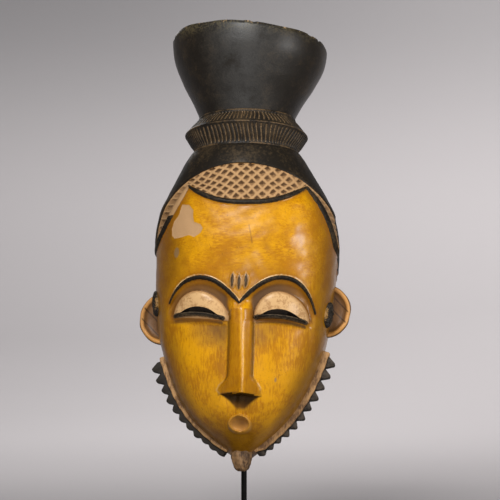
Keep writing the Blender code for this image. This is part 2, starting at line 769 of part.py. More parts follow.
def collar(side):
    """The notched flange: a row of pointed teeth behind a plain raised strip. Both dwindle to the chin."""
    top = COLLAR_TOP_Z + side * COLLAR_UNEVEN
    uneven = side * STRIP_UNEVEN
    backing = TOOTH_BACKING + side * TOOTH_BACKING_UNEVEN
    front, back = -COLLAR_FRONT_DEPTH, -COLLAR_FRONT_DEPTH + COLLAR_THICKNESS

    def dwindling(at_top, at_end, share):
        return at_top + (at_end - at_top) * share

    shares, reaches = [], []
    for tooth in range(TOOTH_COUNT + 1):
        for place, is_tip in ((0.0, False), (0.42, True), (0.60, True)):
            t = (tooth + place) / TOOTH_COUNT
            if t > 1:
                break
            share = t + TOOTH_CROWDING * t * (1 - t)
            notch = dwindling(STRIP_TOP_WIDTH, STRIP_END_WIDTH, share) + uneven + backing
            tip = dwindling(TOOTH_TOP_REACH, TOOTH_END_REACH, share)
            shares.append(share)
            reaches.append(tip if is_tip else notch)
    line = jaw_line(side, top, COLLAR_BOTTOM_Z, shares)
    teeth = collar_plate(f"teeth_{side}", line, reaches, front + COLLAR_STEP, back, COLLAR_ROOT)

    shares = np.linspace(0, 1, STRIP_STATIONS)
    line = jaw_line(side, top + STRIP_OVERRUN, COLLAR_BOTTOM_Z - STRIP_END_OVERRUN, shares)
    reaches = [dwindling(STRIP_TOP_WIDTH, STRIP_END_WIDTH, share) + uneven for share in shares]
    strip = collar_plate(f"strip_{side}", line, reaches, front, back - STRIP_END_STEP, STRIP_ROOT)
    return teeth, strip


def beard():
    """The blunt tuft that hangs from the chin."""
    profile = (
        (BEARD_RADIUS * 0.35, 0.0), (BEARD_RADIUS * 0.60, BEARD_TOP_Z * 0.10),
        (BEARD_RADIUS * 0.78, BEARD_TOP_Z * 0.28), (BEARD_RADIUS * 0.94, BEARD_TOP_Z * 0.58),
        (BEARD_RADIUS, BEARD_TOP_Z),
    )
    return turned("beard", profile, (0, -BEARD_DEPTH, 0), (0, 0, 1), 12)


def mask():
    body = head()
    both = (-1, 1)
    joined = [cup(), neck_ring(), beard(), nose(), mouth()]
    joined += [lid(side) for side in both]
    joined += [ear(side) for side in both]
    joined += [tuft(side) for side in both]
    for side in both:
        joined += collar(side)
    joined += [brow(side) for side in both]
    joined += [hairline_middle(), crown_edge()]
    joined += [hairline_side(side) for side in both]
    joined += [lower_lid(side) for side in both]
    joined += [scar(index) for index in (-1, 0, 1)]
    combine(body, joined, "UNION", "carving")
    cutters = [lattice_pits(), hollow()] + [slit(side) for side in both]
    combine(body, cutters, "DIFFERENCE", "cuts", overlapping=True)
    body.data.materials.append(painted("mask_paint", YELLOW, 0.4))
    return body


def crossbar_height():
    """The height above the foot's underside at which the crossbar's top just meets the hollow's ceiling."""
    transform = to_stand()
    ceiling = transform @ Vector((0, 0, HOLLOW_CEILING_Z))
    up = Vector((0, math.sin(LEAN_BACK), math.cos(LEAN_BACK)))
    clearance = CROSSBAR_RADIUS + GAP
    return ceiling.z - ((ROD_BEHIND_CENTRE - ceiling.y) * up.y + clearance) / up.z


def stand_rod():
    """A steel rod with a bar welded across its top, which the mask hangs on."""
    foot_top = FOOT_THICKNESS
    bottom = foot_top - ROD_SEAT_DEPTH + GAP
    top = crossbar_height()
    bpy.ops.mesh.primitive_cylinder_add(
        vertices=20, radius=ROD_RADIUS, depth=top - bottom,
        location=(0, ROD_BEHIND_CENTRE, (top + bottom) / 2),
    )
    rod = bpy.context.object
    rod.name = "stand_rod"
    bpy.ops.mesh.primitive_cylinder_add(
        vertices=20, radius=CROSSBAR_RADIUS, depth=CROSSBAR_LENGTH,
        location=(0, ROD_BEHIND_CENTRE, top), rotation=(0, math.pi / 2, 0),
    )
    bar = bpy.context.object
    bar.name = "crossbar"
    rounding = bar.modifiers.new("rounded_ends", "BEVEL")
    rounding.width = CROSSBAR_RADIUS * 0.5
    rounding.segments = 2
    combine(rod, [bar], "UNION", "weld")
    rod.data.materials.append(painted("rod_black", STAND_BLACK, 0.45, 0.6))
    return rod


def stand_foot():
    """A flat steel plate with softened edges and a seat drilled for the rod."""
    bpy.ops.mesh.primitive_cube_add(size=1.0, location=(0, 0, FOOT_THICKNESS / 2))
    foot = bpy.context.object
    foot.name = "stand_foot"
    foot.data.transform(Matrix.Diagonal((FOOT_WIDTH, FOOT_DEPTH, FOOT_THICKNESS, 1.0)))
    softened = foot.modifiers.new("softened_edges", "BEVEL")
    softened.width = FOOT_EDGE
    softened.segments = 2
    bpy.ops.mesh.primitive_cylinder_add(
        vertices=24, radius=ROD_RADIUS + GAP, depth=2 * ROD_SEAT_DEPTH,
        location=(0, ROD_BEHIND_CENTRE, FOOT_THICKNESS),
    )
    seat = bpy.context.object
    seat.name = "rod_seat"
    combine(foot, [seat], "DIFFERENCE", "drilling")
    foot.data.materials.append(painted("foot_black", STAND_BLACK, 0.5, 0.6))
    return foot


def main():
    for obj in list(bpy.data.objects):
        bpy.data.objects.remove(obj)
    mask()
    stand_rod()
    stand_foot()


main()
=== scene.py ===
# The looks of a carved and painted wooden face mask on its steel stand.
# The mask is shaped upright in its own frame and then leant back onto the stand. In that frame x
# runs to the viewer's right, y = 0 is the plane of the hollow back, -y is the front, and z = 0 is
# the tip of the beard tuft. Lengths are in metres. The painted zones are numbers on the surface's
# points, most of them depths inside the zone's edge, in millimetres.

import math

import bmesh
import bpy
import numpy as np
from mathutils import Matrix, Vector


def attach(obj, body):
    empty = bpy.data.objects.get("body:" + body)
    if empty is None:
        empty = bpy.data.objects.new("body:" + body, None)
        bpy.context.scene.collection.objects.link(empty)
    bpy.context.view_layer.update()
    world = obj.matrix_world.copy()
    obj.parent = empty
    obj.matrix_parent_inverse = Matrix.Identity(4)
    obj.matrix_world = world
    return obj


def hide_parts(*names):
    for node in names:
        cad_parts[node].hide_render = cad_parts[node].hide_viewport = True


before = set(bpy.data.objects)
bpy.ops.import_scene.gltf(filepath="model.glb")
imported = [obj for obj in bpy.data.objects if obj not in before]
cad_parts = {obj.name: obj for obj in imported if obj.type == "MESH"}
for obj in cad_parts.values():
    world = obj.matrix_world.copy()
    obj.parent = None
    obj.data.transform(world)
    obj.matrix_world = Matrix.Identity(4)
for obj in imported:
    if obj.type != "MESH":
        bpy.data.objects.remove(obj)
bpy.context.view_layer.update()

MM = 0.001
AWAY = -10 * MM  # the depth of a point that a painted zone doesn't reach

# How the mask hangs on its stand
CHIN_HEIGHT = 0.100
LEAN_BACK = math.radians(10.0)
ROD_BEHIND_CENTRE = 0.012
ROD_RADIUS = 0.0026
GAP = 0.0003

# The carving isn't quite straight: how far its middle strays to the right at each height
CENTRE_LEVELS = (0.0, 0.050, 0.100, 0.150, 0.175, 0.210,
                 0.250, 0.290, 0.307, 0.325, 0.365, 0.400)
CENTRE_SHIFTS = (0.0010, -0.0008, 0.0005, 0.0014, 0.0028, 0.0040,
                 0.0034, 0.0022, 0.0023, 0.0030, 0.0044, 0.0049)

# Head: half width, distance of the front from the back plane, depth of the widest line, squareness
HEAD_BOTTOM_Z = 0.014
HEAD_TOP_Z = 0.2915
HEAD_LEVELS = (HEAD_BOTTOM_Z, 0.0182, 0.0274, 0.0367, 0.0487, 0.0607, 0.0741, 0.0968, 0.1195,
               0.145, 0.175, 0.205, 0.233, 0.2494, 0.2678, 0.2806, HEAD_TOP_Z)
HEAD_HALF_WIDTHS = (0.0085, 0.0141, 0.0247, 0.0350, 0.0459, 0.0540, 0.0611, 0.0700, 0.0762,
                    0.0798, 0.0820, 0.0830, 0.0792, 0.0718, 0.0618, 0.0545, 0.0470)
HEAD_FRONTS = (0.0400, 0.0465, 0.0590, 0.0690, 0.0765, 0.0810, 0.0840, 0.0880, 0.0920,
               0.0965, 0.1035, 0.1085, 0.1085, 0.1060, 0.1020, 0.0985, 0.0935)
SIDE_LEVELS = (HEAD_BOTTOM_Z, 0.060, 0.110, 0.230, HEAD_TOP_Z)
SIDE_DEPTHS = (0.024, 0.033, 0.035, 0.037, 0.0465)
FRONT_SQUARENESS = (2.0, 2.25, 2.5, 2.45, 2.0)
BACK_SQUARENESS = (5.0, 7.0, 8.0, 7.0, 2.0)

# Rows up the head as (from, to, spacing), and columns over the flat of the face
HEAD_ROWS = ((HEAD_BOTTOM_Z, 0.030, 0.0011), (0.030, 0.072, 0.00085), (0.072, 0.120, 0.0013),
             (0.120, 0.176, 0.00075), (0.176, 0.192, 0.0011), (0.192, 0.274, 0.00085),
             (0.274, HEAD_TOP_Z, 0.0013))
FACE_HALF_WIDTH = 0.046
FACE_COLUMN = 0.00085
FACE_SHARE = 0.80
TURN_COLUMNS = 56
BACK_COLUMNS = 16

# Neck ring and cup of the headdress
NECK_DEPTH = 0.0465
RING_LEVELS = (0.2890, 0.2903, 0.2915, 0.2985, 0.3050, 0.3060,
               0.3072, 0.3150, 0.3208, 0.3222, 0.3235)
RING_RADII = (0.0470, 0.0481, 0.0478, 0.0520, 0.0560, 0.0566,
              0.0556, 0.0496, 0.0452, 0.0449, 0.0436)
RING_EDGES = (0.2907, 0.3062, 0.3226)
RING_ROWS = ((0.2880, 0.2915, 8), (0.2915, 0.3050, 14), (0.3050, 0.3072, 6),
             (0.3072, 0.3208, 14), (0.3208, 0.3240, 8))
LOWER_FLUTES = ((0.2912, 0.2922), (0.3052, 0.3043))
UPPER_FLUTES = ((0.3080, 0.3090), (0.3212, 0.3202))
RING_FRONT_RISE = 0.0030
FLUTE_COUNT = 84
FLUTE_DEPTH = 0.0011
CUP_LEVELS = (0.3180, 0.3366, 0.3557, 0.3780, 0.3900, 0.3928)
CUP_RADII = (0.0412, 0.0502, 0.0612, 0.0704, 0.0718, 0.0707)
CUP_DEPTH_SHARE = 0.92
CUP_RIM_DEPTH = 0.050
RIM_SLOPE_FORWARD = 0.095
RIM_SLOPE_ASIDE = -0.07
RIM_DISH = 0.003
CUP_SIDES = 220
CUP_TOP_SHARES = np.linspace(0.985, 0.05, 16)
CHIP_COUNT = 9

# Hollow back. INNER_SHELL is the share of the way out to the head's skin up to which wood is raw
INNER_SHELL = 0.93
WALL = 0.013
HOLLOW_FLOOR_Z = 0.0320
HOLLOW_CEILING_Z = 0.2640
HOLLOW_CORNER = 0.022

# What differs between the two sides is given as (left, right)
SIDES = {-1: 0, 1: 1}
SIDE_NAMES = {-1: "left", 1: "right"}

# Brow and eyes
EYE_X = 0.0365
BROW_HALF_SPAN = 0.0315
BROW_MEETING_Z = 0.1445
BROW_TOP_Z = 0.1672
BROW_FALL = 0.0430
BROW_ENDS = (0.87, 0.955)
BROW_HALF_THICKNESS = 0.0019
BROW_HEIGHT = 0.0019
BROW_WORN_RISE = 0.0019
ORBIT_DEPTH = 0.0042
LID_X = (-0.0346, 0.0372)
LID_BASE_Z = (0.1325, 0.1322)
LID_HALF_WIDTH = (0.0256, 0.0244)
LID_HEIGHT = 0.0236
LID_APEX_ASIDE = (-0.10, -0.06)
LID_BULGE = 0.0062
LID_ROUNDNESS = 1.9
EYE_TILT = (-0.084, -0.070)
STRIP_LINE_Z = (0.1334, 0.1311)
STRIP_SAG = 0.0018
STRIP_HALF_LENGTH = 0.0219
STRIP_HALF_THICKNESS = 0.0020
STRIP_HEIGHT = 0.0030
SLIT_HALF_LENGTH = 0.0208
SLIT_HEIGHT = 0.0062
SLIT_SLANT = math.radians(28.0)
SLIT_REACH_OUT = 0.020
SLIT_REACH_IN = 0.043
LEDGE_BELOW_STRIP = 0.0042
STRIP_RISE_TO_SLIT = 0.55
CHEEK_DEPTH = 0.0030

# Nose, mouth and the raised marks between the brows
NOSE_TOP_Z = 0.1500
NOSE_BOTTOM_Z = 0.0644
NOSE_BOTTOM_SLOPE = -0.045
NOSE_X = 0.0019
NOSE_HALF_WIDTH = 0.0103
NOSE_RIDGE_ASIDE = 0.0034
NOSTRIL_HALF_WIDTH = 0.0176
NOSTRIL_FLARE = (0.0172, 0.0040)
NOSE_TOP_RISE = 0.0030
NOSE_TIP_RISE = 0.0185
NOSE_SHADE_HEIGHT = 0.0125
MOUTH_X = 0.0019
MOUTH_Z = 0.0394
MOUTH_RADIUS = 0.0104
MOUTH_FLATNESS = 1.30
MOUTH_RISE = 0.0054
LIP_RADIUS = 0.0084
MOUTH_DISH = 0.0062
SCAR_X = -0.0008
SCAR_PITCH = 0.0057
SCAR_Z = 0.1640
SCAR_HALF_HEIGHT = 0.0072
SCAR_HALF_WIDTH = 0.0029
SCAR_RISE = 0.0024

# Hair: the crown's lip, the ridge along the hairline, and the carved fields between them
CROWN_HALF_WIDTH = (0.0812, 0.0866)
CROWN_BASE_Z = 0.2055
CROWN_ARCH = 0.0645
CROWN_RISE = 0.0017
LENS_X = 0.0036
LENS_HALF_WIDTH = 0.0530
LENS_CORNER_Z = 0.2512
LENS_BOTTOM_Z = 0.2335
HAIRLINE_HALF_THICKNESS = 0.0024
HAIRLINE_HEIGHT = 0.0019
HAIRLINE_BULGE = (0.0, 0.0042)
TEMPLE = (0.0818, 0.2005)
NAPE = ((0.0900, 0.1890), (0.1020, 0.1790), (0.1180, 0.1740))
PIT_PITCH_X = 0.0094
PIT_PITCH_Z = 0.0089
PIT_RIB = 0.0012
PIT_DEPTH = 0.0024
LEFT_RIDGE_LOW_Z = 0.2245

# How uneven the head's surface is, as (height, size, seed) of soft waves
UNEVENNESS = ((0.00035, 0.045, 3), (0.00010, 0.012, 4))

# Marks of wear on the face: the outline of a bare patch, lines as points (x, z), and knocks as
# (x, z, half width, half height)
BARE_PATCH = np.array([
    (-55.1, 233.6), (-48.4, 232.7), (-44.5, 227.6), (-44.5, 221.2), (-43.5, 216.5), (-38.0, 214.3),
    (-35.2, 210.6), (-37.8, 206.2), (-43.1, 202.9), (-47.9, 205.1), (-54.5, 203.9), (-61.2, 203.0),
    (-64.4, 206.3), (-64.6, 212.7), (-62.7, 218.9), (-57.9, 224.6)]) * MM
PATCH_DEPTH = 0.0004
SCRATCHES = (((0.0059, 0.2125), (0.0092, 0.1965)), ((-0.0628, 0.1925), (-0.0602, 0.1850)))
SCRATCH_HALF_WIDTH = 0.0008
NOSTRIL_WEAR = (((-0.0120, 0.0775), (-0.0166, 0.0731), (-0.0188, 0.0688), (-0.0155, 0.0656)),
                ((0.0175, 0.0745), (0.0200, 0.0690)))
NOSTRIL_WEAR_HALF_WIDTH = 0.0010
KNOCKS = ((-0.0592, 0.1905, 0.0026, 0.0050), (0.0332, 0.0782, 0.0012, 0.0026))

# Ears and the tufts in front of them
EAR_Z = 0.1430
EAR_UNEVEN = 0.0035
EAR_HALF_HEIGHT = 0.0245
EAR_REACH = 0.0175
EAR_THICKNESS = 0.0090
EAR_FRONT_DEPTH = 0.0350
EAR_RIM = 0.0035
EAR_DISH = 0.0035
EAR_LEAN = 0.0040
EAR_ROOT = 0.0060
TUFT_HALF_HEIGHT = 0.0118
TUFT_HALF_WIDTH = 0.0088
TUFT_RISE = 0.0034
TUFT_ROOT = 0.0040
TUFT_ANGLE = math.radians(77.0)
TUFT_Z = 0.1450
TUFT_UNEVEN = -0.0050

# Notched collar along the jaw, and the beard tuft
COLLAR_TOP_Z = 0.1036
COLLAR_BOTTOM_Z = 0.0175
COLLAR_UNEVEN = 0.0028
STRIP_OVERRUN = 0.0030
STRIP_END_OVERRUN = 0.0004
STRIP_END_STEP = 0.0020
STRIP_TOP_WIDTH = 0.0050
STRIP_END_WIDTH = 0.0030
STRIP_UNEVEN = 0.0008
COLLAR_FRONT_DEPTH = 0.0387
COLLAR_THICKNESS = 0.0160
COLLAR_STEP = 0.0030
COLLAR_ROOT = 0.0080
STRIP_ROOT = 0.0095
TOOTH_COUNT = 11
TOOTH_TOP_REACH = 0.0140
TOOTH_END_REACH = 0.0062
TOOTH_BACKING = 0.0016
TOOTH_BACKING_UNEVEN = -0.0014
TOOTH_CROWDING = 0.12
TOOTH_ROUNDING = 0.0008
STRIP_ROUNDING = 0.0011
BEARD_RADIUS = 0.0098
BEARD_TOP_Z = 0.0200
BEARD_DEPTH = 0.0360
BEARD_LEVELS = (0.0, 0.0006, 0.0020, 0.0056, 0.0116, BEARD_TOP_Z)
BEARD_RADIUS_SHARES = (0.25, 0.42, 0.60, 0.78, 0.94, 1.0)


# Curves and blends

def interpolated(levels, values):
    """A smooth curve through the points that never overshoots them (monotone cubic)."""
    xs = np.asarray(levels, float)
    ys = np.asarray(values, float)
    steps = np.diff(xs)
    slopes = np.diff(ys) / steps
    tangents = np.empty_like(ys)
    tangents[0] = slopes[0]
    tangents[-1] = slopes[-1]
    for i in range(1, len(xs) - 1):
        before, after = slopes[i - 1], slopes[i]
        tangents[i] = 0.0 if before * after <= 0 else 2 * before * after / (before + after)

    def at(x):
        x = np.clip(np.asarray(x, float), xs[0], xs[-1])
        i = np.clip(np.searchsorted(xs, x) - 1, 0, len(steps) - 1)
        h = steps[i]
        t = (x - xs[i]) / h
        return (
            ys[i] * (1 + 2 * t) * (1 - t) ** 2
            + ys[i + 1] * t * t * (3 - 2 * t)
            + tangents[i] * h * t * (1 - t) ** 2
            + tangents[i + 1] * h * t * t * (t - 1)
        )

    return at


half_width = interpolated(HEAD_LEVELS, HEAD_HALF_WIDTHS)
front_of = interpolated(HEAD_LEVELS, HEAD_FRONTS)
side_depth = interpolated(SIDE_LEVELS, SIDE_DEPTHS)
front_squareness = interpolated(SIDE_LEVELS, FRONT_SQUARENESS)
back_squareness = interpolated(SIDE_LEVELS, BACK_SQUARENESS)
cup_radius = interpolated(CUP_LEVELS, CUP_RADII)
ring_radius = interpolated(RING_LEVELS, RING_RADII)
centre_shift = interpolated(CENTRE_LEVELS, CENTRE_SHIFTS)


def ramp(low, high, value):
    """Nought at low and one at high, with soft ends. low may be the greater."""
    t = np.clip((value - low) / (high - low), 0.0, 1.0)
    return t * t * (3 - 2 * t)


def rounded(distance, half, height):
    """The height of a ridge with a rounded back at a distance from its middle line."""
    share = np.clip(np.abs(distance) / half, 0.0, 1.0)
    return height * np.sqrt(1 - share**2)


def nearest(path, x, z, reach):
    """How far each point lies from a line of points, and at what share of its length. Points
    further away than reach are given ten times that."""
    path = np.asarray(path, float)
    distance = np.full(x.shape, reach * 10)
    share = np.zeros(x.shape)
    low, high = path.min(axis=0) - reach, path.max(axis=0) + reach
    close = (x > low[0]) & (x < high[0]) & (z > low[1]) & (z < high[1])
    points = np.stack([x[close], z[close]], axis=1)
    if not len(points):
        return distance, share
    starts, runs = path[:-1], np.diff(path, axis=0)
    lengths = np.linalg.norm(runs, axis=1)
    before = np.concatenate([[0], np.cumsum(lengths)])
    best = np.full(len(points), reach * 10)
    where = np.zeros(len(points))
    for start, run, length, passed in zip(starts, runs, lengths, before):
        t = np.clip(((points - start) @ run) / length**2, 0.0, 1.0)
        d = np.linalg.norm(points - start - t[:, None] * run, axis=1)
        closer = d < best
        best[closer] = d[closer]
        where[closer] = (passed + t[closer] * length) / before[-1]
    distance[close] = best
    share[close] = where
    return distance, share


def waves(x, y, z, size, seed):
    """A smooth uneven field between about -1 and 1: a few slanted waves of about one size."""
    chance = np.random.default_rng(seed)
    total = np.zeros(np.broadcast(x, y, z).shape)
    count = 9
    for _ in range(count):
        run = chance.normal(size=3)
        run *= 2 * math.pi / (size * chance.uniform(0.7, 1.6)) / np.linalg.norm(run)
        total += np.sin(x * run[0] + y * run[1] + z * run[2] + chance.uniform(0, 7))
    return total / math.sqrt(count)


# The head's plain surface

def skin(angle, z, inset=0.0):
    """A point of the head's outside. Angle 0 faces forwards, a right angle the viewer's right."""
    across = np.sin(angle)
    forward = np.cos(angle)
    is_front = forward >= 0
    centre = side_depth(z)
    width = half_width(z) - inset
    depth = np.where(is_front, front_of(z) - centre - inset, centre)
    power = np.where(is_front, front_squareness(z), back_squareness(z))
    reach = ((abs(across) / width) ** power + (abs(forward) / depth) ** power) ** (-1 / power)
    return reach * across, -centre - reach * forward


def plain_front(x, z):
    """The depth of the head's front, without its relief, as seen from ahead at x, z."""
    share = np.clip(np.abs(x) / half_width(z), 0, 1)
    power = front_squareness(z)
    return -side_depth(z) - (front_of(z) - side_depth(z)) * (1 - share**power) ** (1 / power)


def evenly(x, y, count):
    """The same line of points with count equal steps."""
    lengths = np.concatenate([[0], np.cumsum(np.hypot(np.diff(x), np.diff(y)))])
    stations = np.linspace(0, lengths[-1], count + 1)
    return np.interp(stations, lengths, x), np.interp(stations, lengths, y)


def head_section(z):
    """Half of the head's outline at one height, from the middle of the face to that of the back."""
    centre = float(side_depth(z))
    width = float(half_width(z))
    depth = float(front_of(z)) - centre
    power = float(front_squareness(z))
    flat = min(FACE_HALF_WIDTH, FACE_SHARE * width)
    count = round(FACE_HALF_WIDTH / FACE_COLUMN)
    x = np.linspace(0, flat, count + 1)
    y = -centre - depth * (1 - (x / width) ** power) ** (1 / power)
    start = math.atan2(x[-1], -centre - y[-1])
    turn = evenly(*skin(np.linspace(start, math.pi / 2, 300), z), TURN_COLUMNS)
    back = evenly(*skin(np.linspace(math.pi / 2, math.pi, 400), z), BACK_COLUMNS)
    return (np.concatenate([x, turn[0][1:], back[0][1:]]),
            np.concatenate([y, turn[1][1:], back[1][1:]]))


def head_heights():
    heights = [np.arange(low, high - step / 2, (high - low) / round((high - low) / step))
               for low, high, step in HEAD_ROWS]
    return np.concatenate(heights + [[HEAD_ROWS[-1][1]]])


def unrolled(x, y, z):
    """Distance round the head from its middle: x as seen from the front, and further on behind."""
    width = half_width(z)
    behind = np.clip(y + side_depth(z), 0, None)
    round_corner = width + behind + np.clip(width - abs(x), 0, None)
    return np.sign(x) * np.where(behind > 0, round_corner, abs(x))


# Named lines of the carving, each as points (distance round the head, height)

def brow_height(x):
    t = np.clip(1 - x / EYE_X, 0, 1)
    s = np.clip((x - EYE_X) / BROW_HALF_SPAN, 0, 1)
    inside = BROW_TOP_Z - (BROW_TOP_Z - BROW_MEETING_Z) * t**1.9
    outside = BROW_TOP_Z - BROW_FALL * (1 - np.sqrt(1 - s**2 * 0.999)) ** 1.1
    return np.where(x < EYE_X, inside, outside)


def brow_line(side):
    end = BROW_ENDS[SIDES[side]]
    turn = np.linspace(0, math.asin(end), 26)
    xs = np.concatenate([np.linspace(0.0, EYE_X, 18), EYE_X + BROW_HALF_SPAN * np.sin(turn[1:])])
    return np.stack([side * xs, brow_height(xs)], axis=1)


def eye_axes(side, x, z):
    """A point in an eye's own measure: share of the half length along the lower lid's strip, and
    height above the line through its two ends."""
    i = SIDES[side]
    along = x - side * EYE_X
    return along / STRIP_HALF_LENGTH, z - (STRIP_LINE_Z[i] + EYE_TILT[i] * along)


def strip_height(side, along, share):
    """The middle line of the strip under an eye, at a distance and share along it."""
    i = SIDES[side]
    return STRIP_LINE_Z[i] + EYE_TILT[i] * along + STRIP_SAG * (1 - share**2)


def strip_line(side):
    t = np.linspace(-1, 1, 25)
    along = STRIP_HALF_LENGTH * t
    return np.stack([side * EYE_X + along, strip_height(side, along, t)], axis=1)


def lens_bottom(x):
    share = np.clip(abs(x - LENS_X) / LENS_HALF_WIDTH, 0, 1)
    return LENS_BOTTOM_Z + (LENS_CORNER_Z - LENS_BOTTOM_Z) * share**2.6


def hairline_front():
    xs = np.linspace(LENS_X - LENS_HALF_WIDTH, LENS_X + LENS_HALF_WIDTH, 50)
    return np.stack([xs, lens_bottom(xs)], axis=1)


def hairline_side(side):
    """From the corner of the lens down to the temple and on to the edge of the back."""
    i = SIDES[side]
    start = np.array([side * LENS_X + LENS_HALF_WIDTH, LENS_CORNER_Z])
    end = np.array(TEMPLE)
    t = np.linspace(0, 1, 20)[:, None]
    run = end - start
    out = np.array([-run[1], run[0]]) / np.linalg.norm(run)
    line = start + run * t + out * HAIRLINE_BULGE[i] * np.sin(np.pi * t)
    line = np.concatenate([line, NAPE])
    line[:, 0] *= side
    return line


def hairlines():
    return hairline_front(), hairline_side(-1), hairline_side(1)


def hair_limit(round_distance):
    """The height of the hairline at a distance round the head, past the corners of the lens."""
    left, right = hairline_side(-1), hairline_side(1)
    return np.where(round_distance < 0, np.interp(-round_distance, -left[:, 0], left[:, 1]),
                    np.interp(round_distance, right[:, 0], right[:, 1]))


def crown_depth(t, z):
    """How far a point lies inside the smooth crown."""
    half = np.where(t < 0, *CROWN_HALF_WIDTH)
    out = np.hypot(t / half, (z - CROWN_BASE_Z) / CROWN_ARCH)
    size = np.hypot(t, z - CROWN_BASE_Z)
    beyond = size * (1 - 1 / np.maximum(out, 0.05))
    return np.minimum(beyond, z - hair_limit(t))


def lens_depth(x, z):
    """How far a point lies inside the lens of lattice work over the forehead."""
    above = z - lens_bottom(x) - HAIRLINE_HALF_THICKNESS
    return np.minimum(above, -crown_depth(x, z))


# Relief of the face: every function says how far the surface stands out towards the front

def orbit_relief(x, z):
    total = np.zeros(x.shape)
    for side in (-1, 1):
        across, height = eye_axes(side, x, z)
        under = brow_height(side * x) - z
        across = (side * x - EYE_X) / BROW_HALF_SPAN
        hollow = ramp(0.0005, 0.0075, under) * ramp(1.02, 0.72, across) * ramp(-1.02, -0.72, across)
        ledge = STRIP_SAG * np.clip(1 - across**2, 0, 1) - LEDGE_BELOW_STRIP
        above_ledge = ramp(ledge - 0.0012, ledge + 0.0008, height)
        mine = (side * x > 0)
        total -= np.where(mine, ORBIT_DEPTH * hollow * above_ledge, 0)
        drop = ramp(ledge + 0.0008, ledge - 0.0012, height) * ramp(0.072, 0.126, z)
        total -= np.where(mine, CHEEK_DEPTH * drop * ramp(1.08, 0.75, np.abs(across)), 0)
    return total


def lid_share(side, x, z):
    """Nought in the middle of a lid and one on its outline, an arch over the eye line."""
    i = SIDES[side]
    along = (x - LID_X[i]) / LID_HALF_WIDTH[i]
    base = LID_BASE_Z[i] + EYE_TILT[i] * (x - LID_X[i])
    up = (z - base) / LID_HEIGHT
    along = along - LID_APEX_ASIDE[i] * (1 - np.clip(abs(along), 0, 1) ** 2) * np.clip(up, 0, 1)
    power = LID_ROUNDNESS
    return (np.abs(along) ** power + np.abs(up) ** power) ** (1 / power), up


def lid_relief(x, z):
    total = np.zeros(x.shape)
    for side in (-1, 1):
        share, up = lid_share(side, x, z)
        dome = np.sqrt(np.clip(1 - share**2, 0, 1)) ** 0.9
        total = np.maximum(total, LID_BULGE * dome * ramp(-0.30, 0.02, up))
    return total


def strip_relief(x, z):
    total = np.zeros(x.shape)
    for side in (-1, 1):
        distance, share = nearest(strip_line(side), x, z, 0.004)
        half = STRIP_HALF_THICKNESS * (1 - 0.35 * np.abs(2 * share - 1) ** 3)
        total = np.maximum(total, rounded(distance, half, STRIP_HEIGHT))
    return total


def brow_relief(x, z):
    total = np.zeros(x.shape)
    for side in (-1, 1):
        distance, share = nearest(brow_line(side), x, z, 0.004)
        taper = ramp(-0.05, 0.08, share) * (1 - 0.45 * ramp(0.6, 1.0, share))
        half = BROW_HALF_THICKNESS * taper + 1e-6
        total = np.maximum(total, rounded(distance, half, BROW_HEIGHT))
    return total


def nose_share(x, z):
    """The nose at a point: shares of the way down, of its half width and of its flare, and that
    half width."""
    down = np.clip((NOSE_TOP_Z - z) / (NOSE_TOP_Z - NOSE_BOTTOM_Z), 0, 1)
    flare = ramp(NOSE_BOTTOM_Z + NOSTRIL_FLARE[0], NOSE_BOTTOM_Z + NOSTRIL_FLARE[1], z)
    half = NOSE_HALF_WIDTH * (0.80 + 0.20 * np.clip(down / 0.2, 0, 1))
    half = half + (NOSTRIL_HALF_WIDTH - NOSE_HALF_WIDTH) * flare
    return down, (x - NOSE_X) / half, flare, half


def nose_ridge(down):
    """Where the nose's back lies, which strays to the right on its way down."""
    return NOSE_X + NOSE_RIDGE_ASIDE * np.clip(down / 0.8, 0, 1) ** 1.3


def nose_bottom(x):
    return NOSE_BOTTOM_Z + NOSE_BOTTOM_SLOPE * (x - NOSE_X)


def nose_relief(x, z):
    down, across, flare, half = nose_share(x, z)
    rise = NOSE_TOP_RISE + (NOSE_TIP_RISE - NOSE_TOP_RISE) * down
    ridge = (nose_ridge(down) - NOSE_X) / half
    shoulder = 0.86
    reach = np.where(across > ridge, shoulder - ridge, shoulder + ridge)
    slope = np.clip(np.abs(across - ridge) / reach, 0, 1)
    top = 1 - (0.36 + 0.36 * flare) * slope ** (1.1 - 0.2 * flare)
    wall = ramp(1.16, shoulder - 0.04 - 0.16 * flare, np.abs(across))
    starts = ramp(NOSE_TOP_Z, NOSE_TOP_Z - 0.012, z)
    bottom = nose_bottom(x)
    cut = ramp(bottom - 0.0008, bottom + 0.0008, z)
    return rise * top * wall * starts * cut


def mouth_distance(x, z):
    return np.hypot(x - MOUTH_X, (z - MOUTH_Z) * MOUTH_FLATNESS)


def mouth_relief(x, z):
    distance = mouth_distance(x, z)
    ring = MOUTH_RISE * ramp(MOUTH_RADIUS + 0.0012, MOUTH_RADIUS - 0.0010, distance)
    dish = MOUTH_DISH * np.sqrt(np.clip(1 - (distance / LIP_RADIUS) ** 2, 0, 1))
    return ring - dish * ramp(LIP_RADIUS, LIP_RADIUS - 0.0014, distance)


def philtrum_relief(x, z):
    top, bottom = NOSE_BOTTOM_Z, MOUTH_Z + MOUTH_RADIUS / MOUTH_FLATNESS
    line = ((MOUTH_X + 0.0012, top), (MOUTH_X + 0.0002, bottom - 0.001))
    distance, _ = nearest(line, x, z, 0.008)
    return 0.0014 * ramp(0.0042, 0.0, distance)


